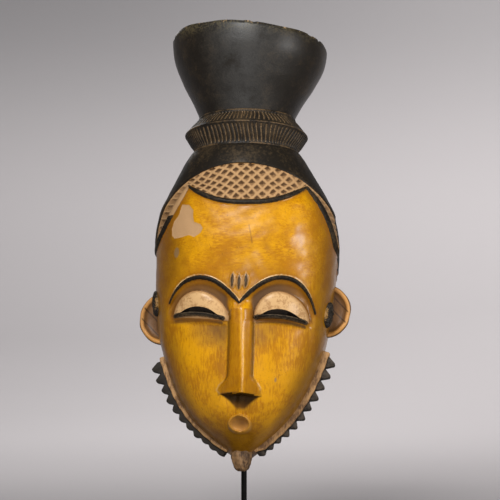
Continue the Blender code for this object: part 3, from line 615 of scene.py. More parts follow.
def scar_relief(x, z):
    total = np.zeros(x.shape)
    for index in (-1, 0, 1):
        middle = SCAR_Z - (0.0012 if index == 0 else 0)
        up = (z - middle) / SCAR_HALF_HEIGHT
        taper = np.clip(1 - np.abs(up) ** 2.5, 0.02, 1) ** 0.7
        across = (x - SCAR_X - index * SCAR_PITCH) / (SCAR_HALF_WIDTH * taper)
        body = np.clip(1 - np.abs(up) ** 3, 0, 1) ** 0.6
        total = np.maximum(total, SCAR_RISE * body * np.sqrt(np.clip(1 - across**2, 0, 1)))
    return total


def face_relief(x, z):
    """Everything carved on the face below the hair."""
    return (orbit_relief(x, z) + lid_relief(x, z) + strip_relief(x, z) + brow_relief(x, z)
            + nose_relief(x, z) + mouth_relief(x, z) + philtrum_relief(x, z) + scar_relief(x, z))


# Relief of the hair, along the head's own outward direction

def lattice_axes(x, z):
    """The lattice's two slanting directions as numbers that pass a whole one at each rib. Towards
    the left its lines lie flatter and closer, as the carver's did."""
    left = ramp(-0.002, -0.040, x)
    row = (z - LENS_BOTTOM_Z) / PIT_PITCH_Z * (1 + 0.45 * left)
    column = (x - LENS_X) / PIT_PITCH_X
    wander = 0.11 * waves(x, 0.0, z, 0.016, 11)
    return column - row * (1 - 0.18 * left) + wander, column + row - wander


def pit_share(x, z):
    """Nought on the lattice's ribs and one at the bottom of its pits."""
    rising, falling = lattice_axes(x, z)
    fold = [1 - np.abs(2 * (v - np.floor(v)) - 1) for v in (rising, falling)]
    rib = PIT_RIB / PIT_PITCH_Z
    return np.clip((np.minimum(fold[0], fold[1]) - rib) / (1 - rib), 0, 1)


def past_lens(t):
    """Whether a point lies beyond the corners of the lens."""
    return np.abs(t - LENS_X) > LENS_HALF_WIDTH - 0.0005


def temple_pits(t, z):
    """A row of oblong pits between the ridge and the crown at each temple, fainter on the right."""
    total = np.zeros(t.shape)
    for side, count, strength in ((-1, 9.0, 1.0), (1, 11.0, 0.6)):
        distance, share = nearest(hairline_side(side)[:20], t, z, 0.025)
        inside = np.minimum(-crown_depth(t, z), distance - HAIRLINE_HALF_THICKNESS * 0.8)
        step = share * count + distance * side * 40
        rib = np.abs(2 * (step - np.floor(step)) - 1)
        pit = ramp(0.90, 0.30, rib) * ramp(0.0002, 0.0016, inside) * ramp(0.98, 0.93, share)
        mine = (t * side > 0) & (distance < 0.020) & (z > hair_limit(t)) & past_lens(t)
        total = np.maximum(total, np.where(mine, pit * strength, 0))
    return total


def hair_relief(t, z):
    crown = crown_depth(t, z)
    total = CROWN_RISE * ramp(-0.0008, 0.0008, crown)
    in_lens = ramp(0.0, 0.0016, lens_depth(t, z)) * (abs(t - LENS_X) < LENS_HALF_WIDTH)
    total += -PIT_DEPTH * pit_share(t, z) * in_lens
    total += -PIT_DEPTH * 0.8 * temple_pits(t, z)
    ridges = np.zeros(t.shape)
    for line in hairlines():
        distance, share = nearest(line, t, z, 0.005)
        taper = 0.55 + 0.45 * ramp(0.0, 0.12, share) * ramp(1.0, 0.88, share)
        half = HAIRLINE_HALF_THICKNESS * taper
        ridges = np.maximum(ridges, rounded(distance, half, HAIRLINE_HEIGHT))
    return np.where(ridges > 0, np.maximum(total, ridges), total)


def inside_outline(outline, x, z):
    """How far each point lies inside a closed outline, and outside as a negative number."""
    closed = np.concatenate([outline, outline[:1]])
    distance, _ = nearest(closed, x, z, 0.006)
    crossings = np.zeros(x.shape, int)
    for (x0, z0), (x1, z1) in zip(closed[:-1], closed[1:]):
        level = (z0 > z) != (z1 > z)
        at = x0 + (z - z0) / (z1 - z0 if z1 != z0 else 1.0) * (x1 - x0)
        crossings += level & (x < at)
    return np.where(crossings % 2 == 1, distance, -distance)


# Meshes

def to_stand():
    """The matrix from the mask's own frame to the stand's."""
    back = Matrix.Rotation(-LEAN_BACK, 4, "X")
    inner_edge = back @ Vector((0, 0, HOLLOW_FLOOR_Z))
    shift = Vector((0, ROD_BEHIND_CENTRE - ROD_RADIUS - GAP - inner_edge.y, CHIN_HEIGHT))
    return Matrix.Translation(shift) @ back


def plain_mesh(name, points, faces):
    mesh = bpy.data.meshes.new(name)
    mesh.from_pydata([tuple(p) for p in points], [], faces)
    work = bmesh.new()
    work.from_mesh(mesh)
    bmesh.ops.recalc_face_normals(work, faces=work.faces)
    work.to_mesh(mesh)
    work.free()
    obj = bpy.data.objects.new(name, mesh)
    bpy.context.scene.collection.objects.link(obj)
    return obj


def ring_faces(rows, count, closed_ends=True):
    """Faces between rows of count points each, row after row, with flat ends."""
    faces = []
    for r in range(rows - 1):
        for i in range(count):
            j = (i + 1) % count
            faces.append((r * count + i, r * count + j, (r + 1) * count + j, (r + 1) * count + i))
    if closed_ends:
        faces.append(tuple(reversed(range(count))))
        faces.append(tuple(range((rows - 1) * count, rows * count)))
    return faces


def lofted(name, rings):
    points = np.array(rings, float).reshape(-1, 3)
    return plain_mesh(name, points, ring_faces(len(rings), len(rings[0])))


def baked(obj):
    """Work the object's modifiers into its mesh."""
    bpy.context.view_layer.update()
    graph = bpy.context.evaluated_depsgraph_get()
    mesh = bpy.data.meshes.new_from_object(obj.evaluated_get(graph))
    mesh.materials.clear()
    obj.modifiers.clear()
    obj.data = mesh


def cut(obj, cutters):
    for cutter in cutters:
        modifier = obj.modifiers.new(cutter.name, "BOOLEAN")
        modifier.operation = "DIFFERENCE"
        modifier.solver = "EXACT"
        modifier.object = cutter
    baked(obj)
    for cutter in cutters:
        bpy.data.objects.remove(cutter)


def softened(obj, width):
    bevel = obj.modifiers.new("softened", "BEVEL")
    bevel.width = width
    bevel.segments = 3
    bevel.limit_method = "ANGLE"
    bevel.angle_limit = math.radians(30)
    baked(obj)


def coordinates(mesh):
    points = np.empty(len(mesh.vertices) * 3)
    mesh.vertices.foreach_get("co", points)
    return points.reshape(-1, 3)


def layer(mesh, name, values):
    """A number on each point of the mesh, for the materials to read."""
    attribute = mesh.attributes.new(name, "FLOAT", "POINT")
    attribute.data.foreach_set("value", np.asarray(values, np.float32).ravel())


def stand_up(obj, sharp_angle=50):
    """Move a shape from the mask's straight frame to where the real one leans on its stand."""
    mesh = obj.data
    points = coordinates(mesh)
    points[:, 0] += centre_shift(points[:, 2])
    mesh.vertices.foreach_set("co", points.ravel())
    mesh.transform(to_stand())
    mesh.shade_smooth()
    mesh.set_sharp_from_angle(angle=math.radians(sharp_angle))
    mesh.update()
    return obj


def dressed(obj, *finishes):
    for finish in finishes:
        obj.data.materials.append(finish)
    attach(obj, "root")
    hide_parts("mask")


# The carved pieces

def head_surface():
    heights = head_heights()
    halves = [head_section(z) for z in heights]
    x = np.array([half[0] for half in halves])
    y = np.array([half[1] for half in halves])
    x = np.concatenate([x, -x[:, -2:0:-1]], axis=1)
    y = np.concatenate([y, y[:, -2:0:-1]], axis=1)
    z = np.repeat(heights[:, None], x.shape[1], axis=1)
    return x, y, z


def outward(x, y, z):
    along = [np.roll(v, -1, axis=1) - np.roll(v, 1, axis=1) for v in (x, y, z)]
    up = [np.gradient(v, axis=0) for v in (x, y, z)]
    out = np.cross(np.stack(along, axis=-1), np.stack(up, axis=-1))
    return out / np.linalg.norm(out, axis=-1, keepdims=True)


def hollow():
    """The cutter of the hollow back: the head's own section, a wall smaller, with rounded ends."""
    heights = np.concatenate([
        HOLLOW_FLOOR_Z + HOLLOW_CORNER * (1 - np.cos(np.linspace(0, math.pi / 2, 9))),
        np.linspace(HOLLOW_FLOOR_Z + HOLLOW_CORNER, HOLLOW_CEILING_Z - HOLLOW_CORNER, 48)[1:-1],
        HOLLOW_CEILING_Z - HOLLOW_CORNER * (1 - np.sin(np.linspace(0, math.pi / 2, 9))),
    ])
    angles = np.radians(np.linspace(-90, 90, 61))
    past_back = 0.030
    rings = []
    for z in heights:
        from_end = min(z - HOLLOW_FLOOR_Z, HOLLOW_CEILING_Z - z, HOLLOW_CORNER)
        drawn_in = HOLLOW_CORNER - math.sqrt(HOLLOW_CORNER**2 - (HOLLOW_CORNER - from_end) ** 2)
        x, y = skin(angles, z, inset=WALL + 0.45 * drawn_in)
        gouged = 0.0007 * waves(x, y, z, 0.022, 5) * np.cos(angles)
        ring = [(a, b, z) for a, b in zip(x * (1 - gouged * 8), y + gouged)]
        ring += [(ring[-1][0], past_back, z), (ring[0][0], past_back, z)]
        rings.append(ring)
    return lofted("hollow", rings)


def slit(side):
    """The cutter of an eye's open slit, which slants down inwards."""
    t = np.linspace(-1, 1, 33)
    along = SLIT_HALF_LENGTH * t
    low = strip_height(side, along, t) + STRIP_HALF_THICKNESS * STRIP_RISE_TO_SLIT
    high = low + SLIT_HEIGHT * (1 - np.abs(t) ** 2.2)
    x = np.concatenate([along[1:-1], along[::-1]]) + side * EYE_X
    z = np.concatenate([high[1:-1], low[::-1]])
    mouth = plain_front(x, z) - LID_BULGE * 0.5
    rings = []
    for shift in (-SLIT_REACH_OUT, SLIT_REACH_IN):
        drop = shift * math.tan(SLIT_SLANT)
        rings.append([(a, c + shift, b - drop) for a, b, c in zip(x, z, mouth)])
    return lofted(f"slit_{side}", rings)


def head():
    x, y, z = head_surface()
    out = outward(x, y, z)
    facing = ramp(0.05, 0.35, -out[..., 1])
    t = unrolled(x, y, z)
    is_face = y < -side_depth(z)
    forward = np.where(is_face, face_relief(x, z) * facing, 0.0)
    patch = inside_outline(BARE_PATCH, x, z)
    raised = hair_relief(t, z) - PATCH_DEPTH * ramp(-0.0003, 0.0006, patch) * is_face
    raised += sum(height * waves(x, y, z, size, seed) for height, size, seed in UNEVENNESS)
    raised *= ramp(HEAD_TOP_Z, 0.288, z) * ramp(0.006, 0.020, z)
    back = ramp(-0.010, -0.022, y)
    x = x + out[..., 0] * raised * back
    y = y + out[..., 1] * raised * back - forward
    rows, columns = z.shape
    points = np.stack([x, y, z], axis=-1).reshape(-1, 3)
    obj = plain_mesh("mask_head", points, ring_faces(rows, columns))
    cut(obj, [hollow(), slit(-1), slit(1)])
    paint_zones(obj.data)
    return obj


def line_depth(lines, half, x, z, reach=0.006):
    """How far each point lies inside some lines that are half wide to either side."""
    depth = np.full(x.shape, AWAY)
    for line in lines:
        depth = np.maximum(depth, half - nearest(line, x, z, reach)[0])
    return depth


def brow_zones(x, z):
    """The black of the brows, and the worn line along their upper edges."""
    black = np.full(x.shape, AWAY)
    worn = np.full(x.shape, AWAY)
    for side in (-1, 1):
        distance, share = nearest(brow_line(side), x, z, 0.010)
        taper = ramp(-0.10, 0.12, share) * (1 - 0.45 * ramp(0.6, 1.0, share))
        black = np.maximum(black, BROW_HALF_THICKNESS * taper - distance)
        above, share = nearest(brow_line(side) + np.array([0, BROW_WORN_RISE]), x, z, 0.010)
        worn = np.maximum(worn, 0.0012 * ramp(0.98, 0.80, share) - above)
    return black, worn


def eye_zones(x, z):
    """The cream of the lids, and the painted shade round each lid and along the ledge under it."""
    lid = np.full(x.shape, AWAY)
    painted_crease_shade = np.full(x.shape, AWAY)
    for side in (-1, 1):
        lid_out, up = lid_share(side, x, z)
        lid = np.maximum(lid, np.minimum((1.0 - lid_out) * LID_HEIGHT, (up + 0.06) * LID_HEIGHT))
        across, height = eye_axes(side, x, z)
        line = STRIP_SAG * np.clip(1 - across**2, 0, 1) - LEDGE_BELOW_STRIP
        past_end = np.clip(np.abs(across) - 0.98, 0, None)
        # Painted shade in the crease under the eye's ledge, and round the lid's outline
        ledge = 0.0012 - np.abs(height - line) - 0.030 * past_end
        rim = 0.0011 - np.abs(lid_out - 1.035) * LID_HEIGHT
        painted_crease_shade = np.maximum(painted_crease_shade, np.maximum(ledge, np.where(up > 0, rim, AWAY)))
    return lid, painted_crease_shade


def nose_zones(x, z):
    """The painted shade along the nose's walls, its rubbed back (worn paint with a painted
    highlight), its sides darkened by painted shade, and the painted shadow below it.
    """
    down, across, flare, _ = nose_share(x, z)
    by_wall = (z < NOSE_TOP_Z - 0.012) & (z > NOSE_BOTTOM_Z - 0.001)
    # A line of painted shade along the foot of each of the nose's walls, fainter at the flare
    wall = 0.0008 - 0.0009 * flare - np.abs(np.abs(across) - 1.06) * 0.0095
    on_nose = (z < NOSE_TOP_Z - 0.010) & (z > NOSE_BOTTOM_Z)
    from_ridge = np.abs(x - nose_ridge(down))
    # Painted shade on the nose's sloping sides, out from its ridge
    side = np.where(on_nose, (1.10 - np.abs(across)) * NOSE_HALF_WIDTH, AWAY)
    # The painted shadow that the nose casts below its tip: how far down it reaches and how wide it
    # is
    fallen = (nose_bottom(x) - z) / NOSE_SHADE_HEIGHT
    shade_half = NOSTRIL_HALF_WIDTH * 1.10 * (1 - 0.80 * np.clip(fallen, 0, 1) ** 0.7)
    under = np.where(fallen > -0.04, shade_half - np.abs(x - NOSE_X - 0.001), AWAY)
    return np.where(by_wall, wall, AWAY), {
        # The nose's back: paint rubbed thin, with a painted highlight along the ridge
        "nose_ridge_wear_and_highlight": np.where(on_nose, 0.0014 - from_ridge, AWAY),
        "nose_side_shade": np.minimum(side, from_ridge - 0.0012),
        "painted_nose_shadow": np.minimum(under, (1 - fallen) * NOSE_SHADE_HEIGHT),
    }


def scar_crests(x, z):
    """The dark line on top of each raised mark between the brows."""
    crest = np.full(x.shape, AWAY)
    for index in (-1, 0, 1):
        middle = SCAR_Z - (0.0016 if index == 0 else 0)
        up = np.clip(np.abs(z - middle) / SCAR_HALF_HEIGHT, 0, 1.2)
        aside = np.abs(x - SCAR_X - index * SCAR_PITCH - 0.0004 * index)
        crest = np.maximum(crest, SCAR_HALF_WIDTH * 0.55 * (1 - up**2) - aside)
    return crest


def hairline_ridge(t, z):
    ridge = np.full(t.shape, AWAY)
    for line in hairlines():
        distance, share = nearest(line, t, z, 0.010)
        taper = 0.6 + 0.4 * ramp(0.0, 0.12, share) * ramp(1.0, 0.88, share)
        ridge = np.maximum(ridge, HAIRLINE_HALF_THICKNESS * taper - distance)
    return ridge


def paint_zones(mesh):
    """Put on the head's points where each paint lies, and give its faces their materials."""
    x, y, z = coordinates(mesh).T
    t = unrolled(x, y, z)
    face = y < -side_depth(z)

    def on_face(depth):
        return np.where(face, depth, AWAY)

    crown = crown_depth(t, z)
    brow, brow_worn = brow_zones(x, z)
    lid, painted_crease_shade = eye_zones(x, z)
    wall, nose = nose_zones(x, z)
    strip = line_depth((strip_line(-1), strip_line(1)), STRIP_HALF_THICKNESS, x, z, 0.010)
    ridge = hairline_ridge(t, z)
    knock = np.full(x.shape, AWAY)
    for knock_x, knock_z, half_x, half_z in KNOCKS:
        out = np.hypot((x - knock_x) / half_x, (z - knock_z) / half_z)
        knock = np.maximum(knock, (1 - out) * half_x)
    past_corner = np.abs(t - LENS_X) - LENS_HALF_WIDTH + 0.004
    temple = np.minimum(np.minimum(-crown, z - hair_limit(t)), past_corner)
    lens = np.where(np.abs(x - LENS_X) < LENS_HALF_WIDTH + 0.001, lens_depth(x, z), AWAY)
    pit = pit_share(x, z)
    lip = mouth_distance(x, z)
    rim_middle = (LIP_RADIUS + MOUTH_RADIUS) / 2
    depths = {
        "lid": lid,
        "scar": scar_relief(x, z) - 0.0002,
        "scar_crest": scar_crests(x, z),
        "strip_top": STRIP_HALF_THICKNESS * 0.45 - np.abs(strip - STRIP_HALF_THICKNESS * 0.35),
        "carved": np.maximum(lens, temple),
        "bare": inside_outline(BARE_PATCH, x, z),
        "mouth": LIP_RADIUS - lip,
        "rim_of_mouth": 0.0012 - np.abs(lip - rim_middle),
        "brow_worn": brow_worn,
        "nostril_worn": line_depth(NOSTRIL_WEAR, NOSTRIL_WEAR_HALF_WIDTH, x, z),
        "scratch": line_depth(SCRATCHES, SCRATCH_HALF_WIDTH, x, z),
        "knock": knock,
        "left_ridge": np.where((t < 0) & (z > LEFT_RIDGE_LOW_Z) & past_lens(t), ridge, AWAY),
        **nose,
    }
    for name, depth in depths.items():
        layer(mesh, name, on_face(depth) / MM)
    # Depth of the hollow under each brow, for the painted shade in it
    orbit_shade = on_face(np.where(z > LID_BASE_Z[0] - 0.004, -orbit_relief(x, z), 0.0))
    across = np.abs(x) / np.maximum(half_width(z), 1e-4)
    forward = np.clip(-(y + side_depth(z)), 0, None) / (front_of(z) - side_depth(z))
    power = front_squareness(z)
    shell = (across**power + forward**power) ** (1 / power)
    others = {
        "black": np.maximum.reduce([crown, on_face(brow), on_face(strip), ridge]) / MM,
        # Painted shade in the creases round the eyes and along the nose
        "painted_crease_shade": np.maximum(painted_crease_shade, on_face(wall)) / MM,
        "orbit_shade": orbit_shade / ORBIT_DEPTH,
        # The carved pits and their upper walls, which face down, for the painted shade and shadow
        # in them
        "pit": np.maximum(pit * (lens > 0), temple_pits(t, z)),
        "pit_wall_shadow": np.maximum(pit - pit_share(x - 0.0005, z + 0.0018), 0) * (lens > 0),
        "shell": shell,
        "height": z / MM,
        "across": across + 0.11 * (x < 0) * ramp(0.145, 0.175, z),
    }
    for name, values in others.items():
        layer(mesh, name, values)
    mesh.polygons.foreach_set("material_index", materials_of(mesh, shell).astype(np.int32))


def materials_of(mesh, shell):
    """For each face of the head 0 for its paint, 1 for the hollow's wood and 2 for the slits'."""
    inner = np.array([sum(shell[v] for v in f.vertices) / len(f.vertices) for f in mesh.polygons])
    level = np.array([abs(f.normal.z) for f in mesh.polygons])
    x, y, z = np.array([f.center for f in mesh.polygons]).T
    in_hollow = (inner < INNER_SHELL) & (y > -0.10)
    sunk = y - (plain_front(x, z) - face_relief(x, z))
    by_eye = (np.abs(np.abs(x) - EYE_X) < SLIT_HALF_LENGTH + 0.001) & (z > 0.105) & (z < 0.147)
    in_slit = by_eye & (sunk > 0.0006) & (level > 0.45)
    return np.where(in_slit, 2, np.where(in_hollow, 1, 0))


def neck_ring():
    """The double-coned ring under the cup, with fine grooves down both cones."""
    sides = FLUTE_COUNT * 8
    levels = np.unique(np.concatenate([np.linspace(*row) for row in RING_ROWS]))
    angles = np.linspace(0, 2 * math.pi, sides, endpoint=False)
    lower, upper = (ramp(*starts, levels) * ramp(*ends, levels)
                    for starts, ends in (LOWER_FLUTES, UPPER_FLUTES))
    points, grooves = [], []
    for z, low, high in zip(levels, lower, upper):
        radius = float(ring_radius(z))
        uneven = 0.35 * waves(angles * 0.05, z, 0.0, 0.02, 21)
        phase = angles * FLUTE_COUNT / (2 * math.pi) + uneven + 0.5 * high
        fold = 1 - np.abs(2 * (phase - np.floor(phase)) - 1)
        groove = ramp(0.42, 0.92, fold) * (low + high)
        reach = radius - FLUTE_DEPTH * groove + 0.0003 * waves(angles * 0.05, z, 0.0, 0.05, 22)
        rise = RING_FRONT_RISE * np.cos(angles) * ramp(0.2890, 0.3060, z) * ramp(0.3235, 0.3060, z)
        x, y = reach * np.sin(angles), -NECK_DEPTH - reach * np.cos(angles)
        points.append(np.stack([x, y, z + rise], axis=1))
        grooves.append(groove)
    obj = plain_mesh("neck_ring", np.concatenate(points), ring_faces(len(levels), sides))
    layer(obj.data, "groove", np.concatenate(grooves))
    heights = np.repeat(levels, sides)
    layer(obj.data, "edge", np.minimum.reduce([abs(heights - edge) for edge in RING_EDGES]) / MM)
    return obj


def cup():
    """The flared cup on top. Its mouth leans forwards and aside, with a worn and chipped rim."""
    angles = np.linspace(0, 2 * math.pi, CUP_SIDES, endpoint=False)
    chance = np.random.default_rng(8)
    bottom, shoulder, top = CUP_LEVELS[0], CUP_LEVELS[-2], CUP_LEVELS[-1]
    rounding = np.sin(np.linspace(0, math.pi / 2, 7)[1:])
    levels = np.concatenate([np.linspace(bottom, shoulder, 54),
                             shoulder + (top - shoulder) * rounding])
    chip = np.zeros(CUP_SIDES)
    for _ in range(CHIP_COUNT):
        at, half = chance.uniform(0, 2 * math.pi), chance.uniform(0.03, 0.09)
        depth = chance.uniform(0.0004, 0.0012)
        apart = np.abs((angles - at + math.pi) % (2 * math.pi) - math.pi)
        chip = np.maximum(chip, depth * ramp(half, half * 0.4, apart))

    def row(z, radius_share=1.0, drop=0.0):
        radius = cup_radius(z) * radius_share
        share = (z - bottom) / (top - bottom)
        centre = NECK_DEPTH + (CUP_RIM_DEPTH - NECK_DEPTH) * share
        uneven = 1 + 0.006 * waves(angles * 0.05, z, 0.0, 0.06, 31) * share
        x = radius * uneven * np.sin(angles)
        y = radius * uneven * (1 + (CUP_DEPTH_SHARE - 1) * share) * np.cos(angles)
        near_rim = ramp(0.386, top, z)
        slope = share**2 * (RIM_SLOPE_FORWARD * y + RIM_SLOPE_ASIDE * x)
        at_rim = near_rim * ramp(0.90, CUP_TOP_SHARES[0], radius_share)
        worn = 0.0005 * (1 + waves(angles * 0.05, 0.0, 0.0, 0.03, 32))
        height = z + slope - drop - at_rim * (chip + worn)
        return np.stack([x * (1 - 0.4 * near_rim * chip / 0.06), -centre - y, height], axis=1)

    rings = [row(z) for z in levels]
    for share in CUP_TOP_SHARES:
        rings.append(row(levels[-1], share, RIM_DISH * ramp(1.0, 0.75, share)))
    obj = plain_mesh("headdress_cup", np.concatenate(rings), ring_faces(len(rings), CUP_SIDES))
    up = np.concatenate([np.minimum((levels - bottom) / (top - bottom), 1.0), 2 - CUP_TOP_SHARES])
    layer(obj.data, "up", np.repeat(up, CUP_SIDES))
    layer(obj.data, "turn", np.tile(np.sin(angles), len(rings)))
    return obj


def ear(side):
    """A thick half disc that faces forwards, with a rim round a dished middle."""
    z_middle = EAR_Z + side * EAR_UNEVEN
    root = float(half_width(z_middle)) - EAR_ROOT
    turn = np.linspace(-math.pi / 2, math.pi / 2, 49)
    c, s = np.cos(turn), np.sin(turn)
    front, back = -EAR_FRONT_DEPTH, -EAR_FRONT_DEPTH + EAR_THICKNESS
    profile = [
        (back, 0.0035), (back - 0.0004, 0.0018), (back - 0.0014, 0.0006), (back - 0.003, 0.0001),
        (front + 0.0028, 0.0), (front + 0.0014, 0.0003), (front + 0.0005, 0.0009), (front, 0.0018),
        (front + 0.0001, 0.0027), (front + 0.0006, EAR_RIM),
        (front + EAR_DISH * 0.55, EAR_RIM + 0.0012), (front + EAR_DISH * 0.9, EAR_RIM + 0.0028),
        (front + EAR_DISH, EAR_RIM + 0.0050),
        (front + EAR_DISH * 0.9, EAR_RIM + 0.0085), (front + EAR_DISH * 0.75, EAR_RIM + 0.0120),
    ]
    rings = []
    for y, inset in profile:
        wobble = 0.0004 * waves(turn * 0.03, y, 0.0, 0.02, 41 + side)
        reach = (EAR_REACH + EAR_ROOT - inset + wobble) * c
        z = z_middle + (EAR_HALF_HEIGHT - inset) * s
        ring = [(side * (root + r), y + EAR_LEAN * k, h) for r, k, h in zip(reach, c, z)]
        inner = side * (root - EAR_ROOT * 0.8)
        ring += [(inner, y, ring[-1][2]), (inner, y, ring[0][2])]
        rings.append(ring)
    obj = lofted(f"ear_{SIDE_NAMES[side]}", rings)
    x, y, z = coordinates(obj.data).T
    c = np.clip((np.abs(x) - root) / (EAR_REACH + EAR_ROOT), 0, 1)
    s = (z - z_middle) / EAR_HALF_HEIGHT
    inset = (1 - np.hypot(c, s)) * EAR_HALF_HEIGHT
    layer(obj.data, "inset", inset / MM)
    layer(obj.data, "low", -s)
    layer(obj.data, "slant", (np.abs(x) - root) / MM + side * (z - z_middle) / MM)
    layer(obj.data, "behind", (y - front - EAR_LEAN * c) / MM)
    return obj


def tuft(side):
    """The raised oval of hair in front of each ear, with a rough pitted face."""
    z = TUFT_Z + side * TUFT_UNEVEN
    angle = side * TUFT_ANGLE
    step = 0.002

    def skin_point(turned, raised):
        return np.array([*skin(angle + turned, z + raised), z + raised])

    centre = skin_point(0, 0)
    out = np.cross(skin_point(step, 0) - skin_point(-step, 0),
                   skin_point(0, step) - skin_point(0, -step))
    out = out / np.linalg.norm(out)
    aside = np.cross([0, 0, 1], out)
    aside = aside / np.linalg.norm(aside)
    up = np.cross(out, aside)
    turn = np.linspace(0, 2 * math.pi, 64, endpoint=False)
    shares = np.concatenate([[1.0, 1.0], np.cos(np.linspace(0, math.pi / 2, 18)[1:-1]), [0.03]])
    rise = np.sin(np.linspace(0, math.pi / 2, 18)[1:-1])
    heights = np.concatenate([[-TUFT_ROOT, 0.0], TUFT_RISE * rise**0.7, [TUFT_RISE]])
    rings = []
    for share, height in zip(shares, heights):
        u = TUFT_HALF_WIDTH * np.cos(turn) * share
        v = TUFT_HALF_HEIGHT * np.sin(turn) * share
        rough = 0.0005 * waves(u, v, 0.0, 0.0035, 51 + side) * (height > 0)
        rings.append([centre + out * (height + r) + aside * p + up * q
                      for p, q, r in zip(u, v, rough)])
    obj = lofted(f"hair_tuft_{SIDE_NAMES[side]}", rings)
    layer(obj.data, "front", (coordinates(obj.data) - centre) @ aside * -side / TUFT_HALF_WIDTH)
    return obj


def jaw_line(side, top, bottom, shares):
    """Points of the jaw's outline at shares of the way from below the ear to the chin, and the
    directions straight away from the face there."""
    zs = np.linspace(top, bottom, 200)
    line = np.stack([half_width(zs), zs], axis=1)
    lengths = np.concatenate([[0], np.cumsum(np.linalg.norm(np.diff(line, axis=0), axis=1))])
    stations = np.asarray(shares) * lengths[-1]
    points = np.stack([np.interp(stations, lengths, line[:, k]) for k in range(2)], axis=1)
    along = np.gradient(points, axis=0)
    out = np.stack([-along[:, 1], along[:, 0]], axis=1)
    out = out / np.linalg.norm(out, axis=1)[:, None]
    points[:, 0] *= side
    out[:, 0] *= side
    return points, out


def collar_plate(name, line, reaches, front, back, inside):
    """A plate along the jaw, from inside the face out to the given reach at each station."""
    rings = []
    for p, out, reach in zip(*line, reaches):
        far = p + out * reach
        near = p - out * inside
        rings.append([
            (near[0], front, near[1]), (far[0], front, far[1]),
            (far[0], back, far[1]), (near[0], back, near[1]),
        ])
    return lofted(name, rings)


def collar(side):
    """The notched flange: pointed teeth behind a plain raised strip, both dwindling to the chin."""
    word = SIDE_NAMES[side]
    top = COLLAR_TOP_Z + side * COLLAR_UNEVEN
    uneven = side * STRIP_UNEVEN
    backing = TOOTH_BACKING + side * TOOTH_BACKING_UNEVEN
    front, back = -COLLAR_FRONT_DEPTH, -COLLAR_FRONT_DEPTH + COLLAR_THICKNESS
    chance = np.random.default_rng(60 + side)

    def dwindling(at_top, at_end, share):
        return at_top + (at_end - at_top) * share

    shares, reaches = [], []
    for tooth in range(TOOTH_COUNT + 1):
        longer = chance.uniform(0.94, 1.05)
        for place, is_tip in ((0.0, False), (0.42, True), (0.60, True)):
            t = (tooth + place) / TOOTH_COUNT
            if t > 1:
                break
            share = t + TOOTH_CROWDING * t * (1 - t)
            notch = dwindling(STRIP_TOP_WIDTH, STRIP_END_WIDTH, share) + uneven + backing
            tip = dwindling(TOOTH_TOP_REACH, TOOTH_END_REACH, share) * longer
            shares.append(share)
            reaches.append(tip if is_tip else notch)
    line = jaw_line(side, top, COLLAR_BOTTOM_Z, shares)
    teeth = collar_plate(f"collar_teeth_{word}", line, reaches, front + COLLAR_STEP, back,
                         COLLAR_ROOT)
    softened(teeth, TOOTH_ROUNDING)
    points = coordinates(teeth.data)
    zs = np.linspace(top + STRIP_OVERRUN, COLLAR_BOTTOM_Z, 200)
    jaw = np.stack([side * half_width(zs), zs], axis=1)
    distance, share = nearest(jaw, points[:, 0], points[:, 2], 0.025)
    edge = dwindling(STRIP_TOP_WIDTH, STRIP_END_WIDTH, share) + uneven
    layer(teeth.data, "beyond", (distance - edge) / MM)

    shares = np.linspace(0, 1, 60)
    line = jaw_line(side, top + STRIP_OVERRUN, COLLAR_BOTTOM_Z - STRIP_END_OVERRUN, shares)
    worn = 0.00025 * np.sin(shares * 61 + side)
    pointed = 0.15 + 0.85 * ramp(1.0, 0.90, shares)
    reaches = [(dwindling(STRIP_TOP_WIDTH, STRIP_END_WIDTH, share) + uneven) * thin + w
               for share, thin, w in zip(shares, pointed, worn)]
    strip = collar_plate(f"collar_strip_{word}", line, reaches, front, back - STRIP_END_STEP,
                         STRIP_ROOT)
    softened(strip, STRIP_ROUNDING)
    return teeth, strip


def beard():
    """The blunt tuft that hangs from the chin, with shallow curved grooves."""
    profile = interpolated(BEARD_LEVELS, BEARD_RADIUS * np.array(BEARD_RADIUS_SHARES))
    angles = np.linspace(0, 2 * math.pi, 72, endpoint=False)
    rings = []
    for z in np.concatenate([[0.0], np.linspace(0.0004, BEARD_TOP_Z, 40)]):
        groove = 0.00012 * np.sin(z * 1500 + 4.0 * np.sin(angles))
        reach = profile(z) + groove + 0.0004 * np.cos(7 * angles + z * 150)
        x, y = reach * np.sin(angles), -BEARD_DEPTH - reach * np.cos(angles)
        rings.append(np.stack([x, y, np.full(len(angles), z)], axis=1))
    return lofted("beard_tuft", rings)


# Finishes

class Wire:
    """A value that a shader works out over a surface. Sums of such values add Math nodes."""

    def __init__(self, finish, socket):
        self.finish = finish
        self.socket = socket

    def sum(self, operation, *values):
        return self.finish.node("ShaderNodeMath", {"operation": operation}, dict(enumerate(values)))

    def __add__(self, other):
        return self.sum("ADD", self, other)

    def __radd__(self, other):
        return self.sum("ADD", other, self)

    def __sub__(self, other):
        return self.sum("SUBTRACT", self, other)

    def __rsub__(self, other):
        return self.sum("SUBTRACT", other, self)

    def __mul__(self, other):
        return self.sum("MULTIPLY", self, other)

    def __rmul__(self, other):
        return self.sum("MULTIPLY", other, self)

    def __pow__(self, other):
        return self.sum("POWER", self, other)

    def larger(self, other):
        return self.sum("MAXIMUM", self, other)

    def between(self, low, high):
        """Nought below low and one above high, with soft ends."""
        settings = {"interpolation_type": "SMOOTHSTEP"}
        return self.finish.node("ShaderNodeMapRange", settings,
                                {"Value": self, "From Min": low, "From Max": high})


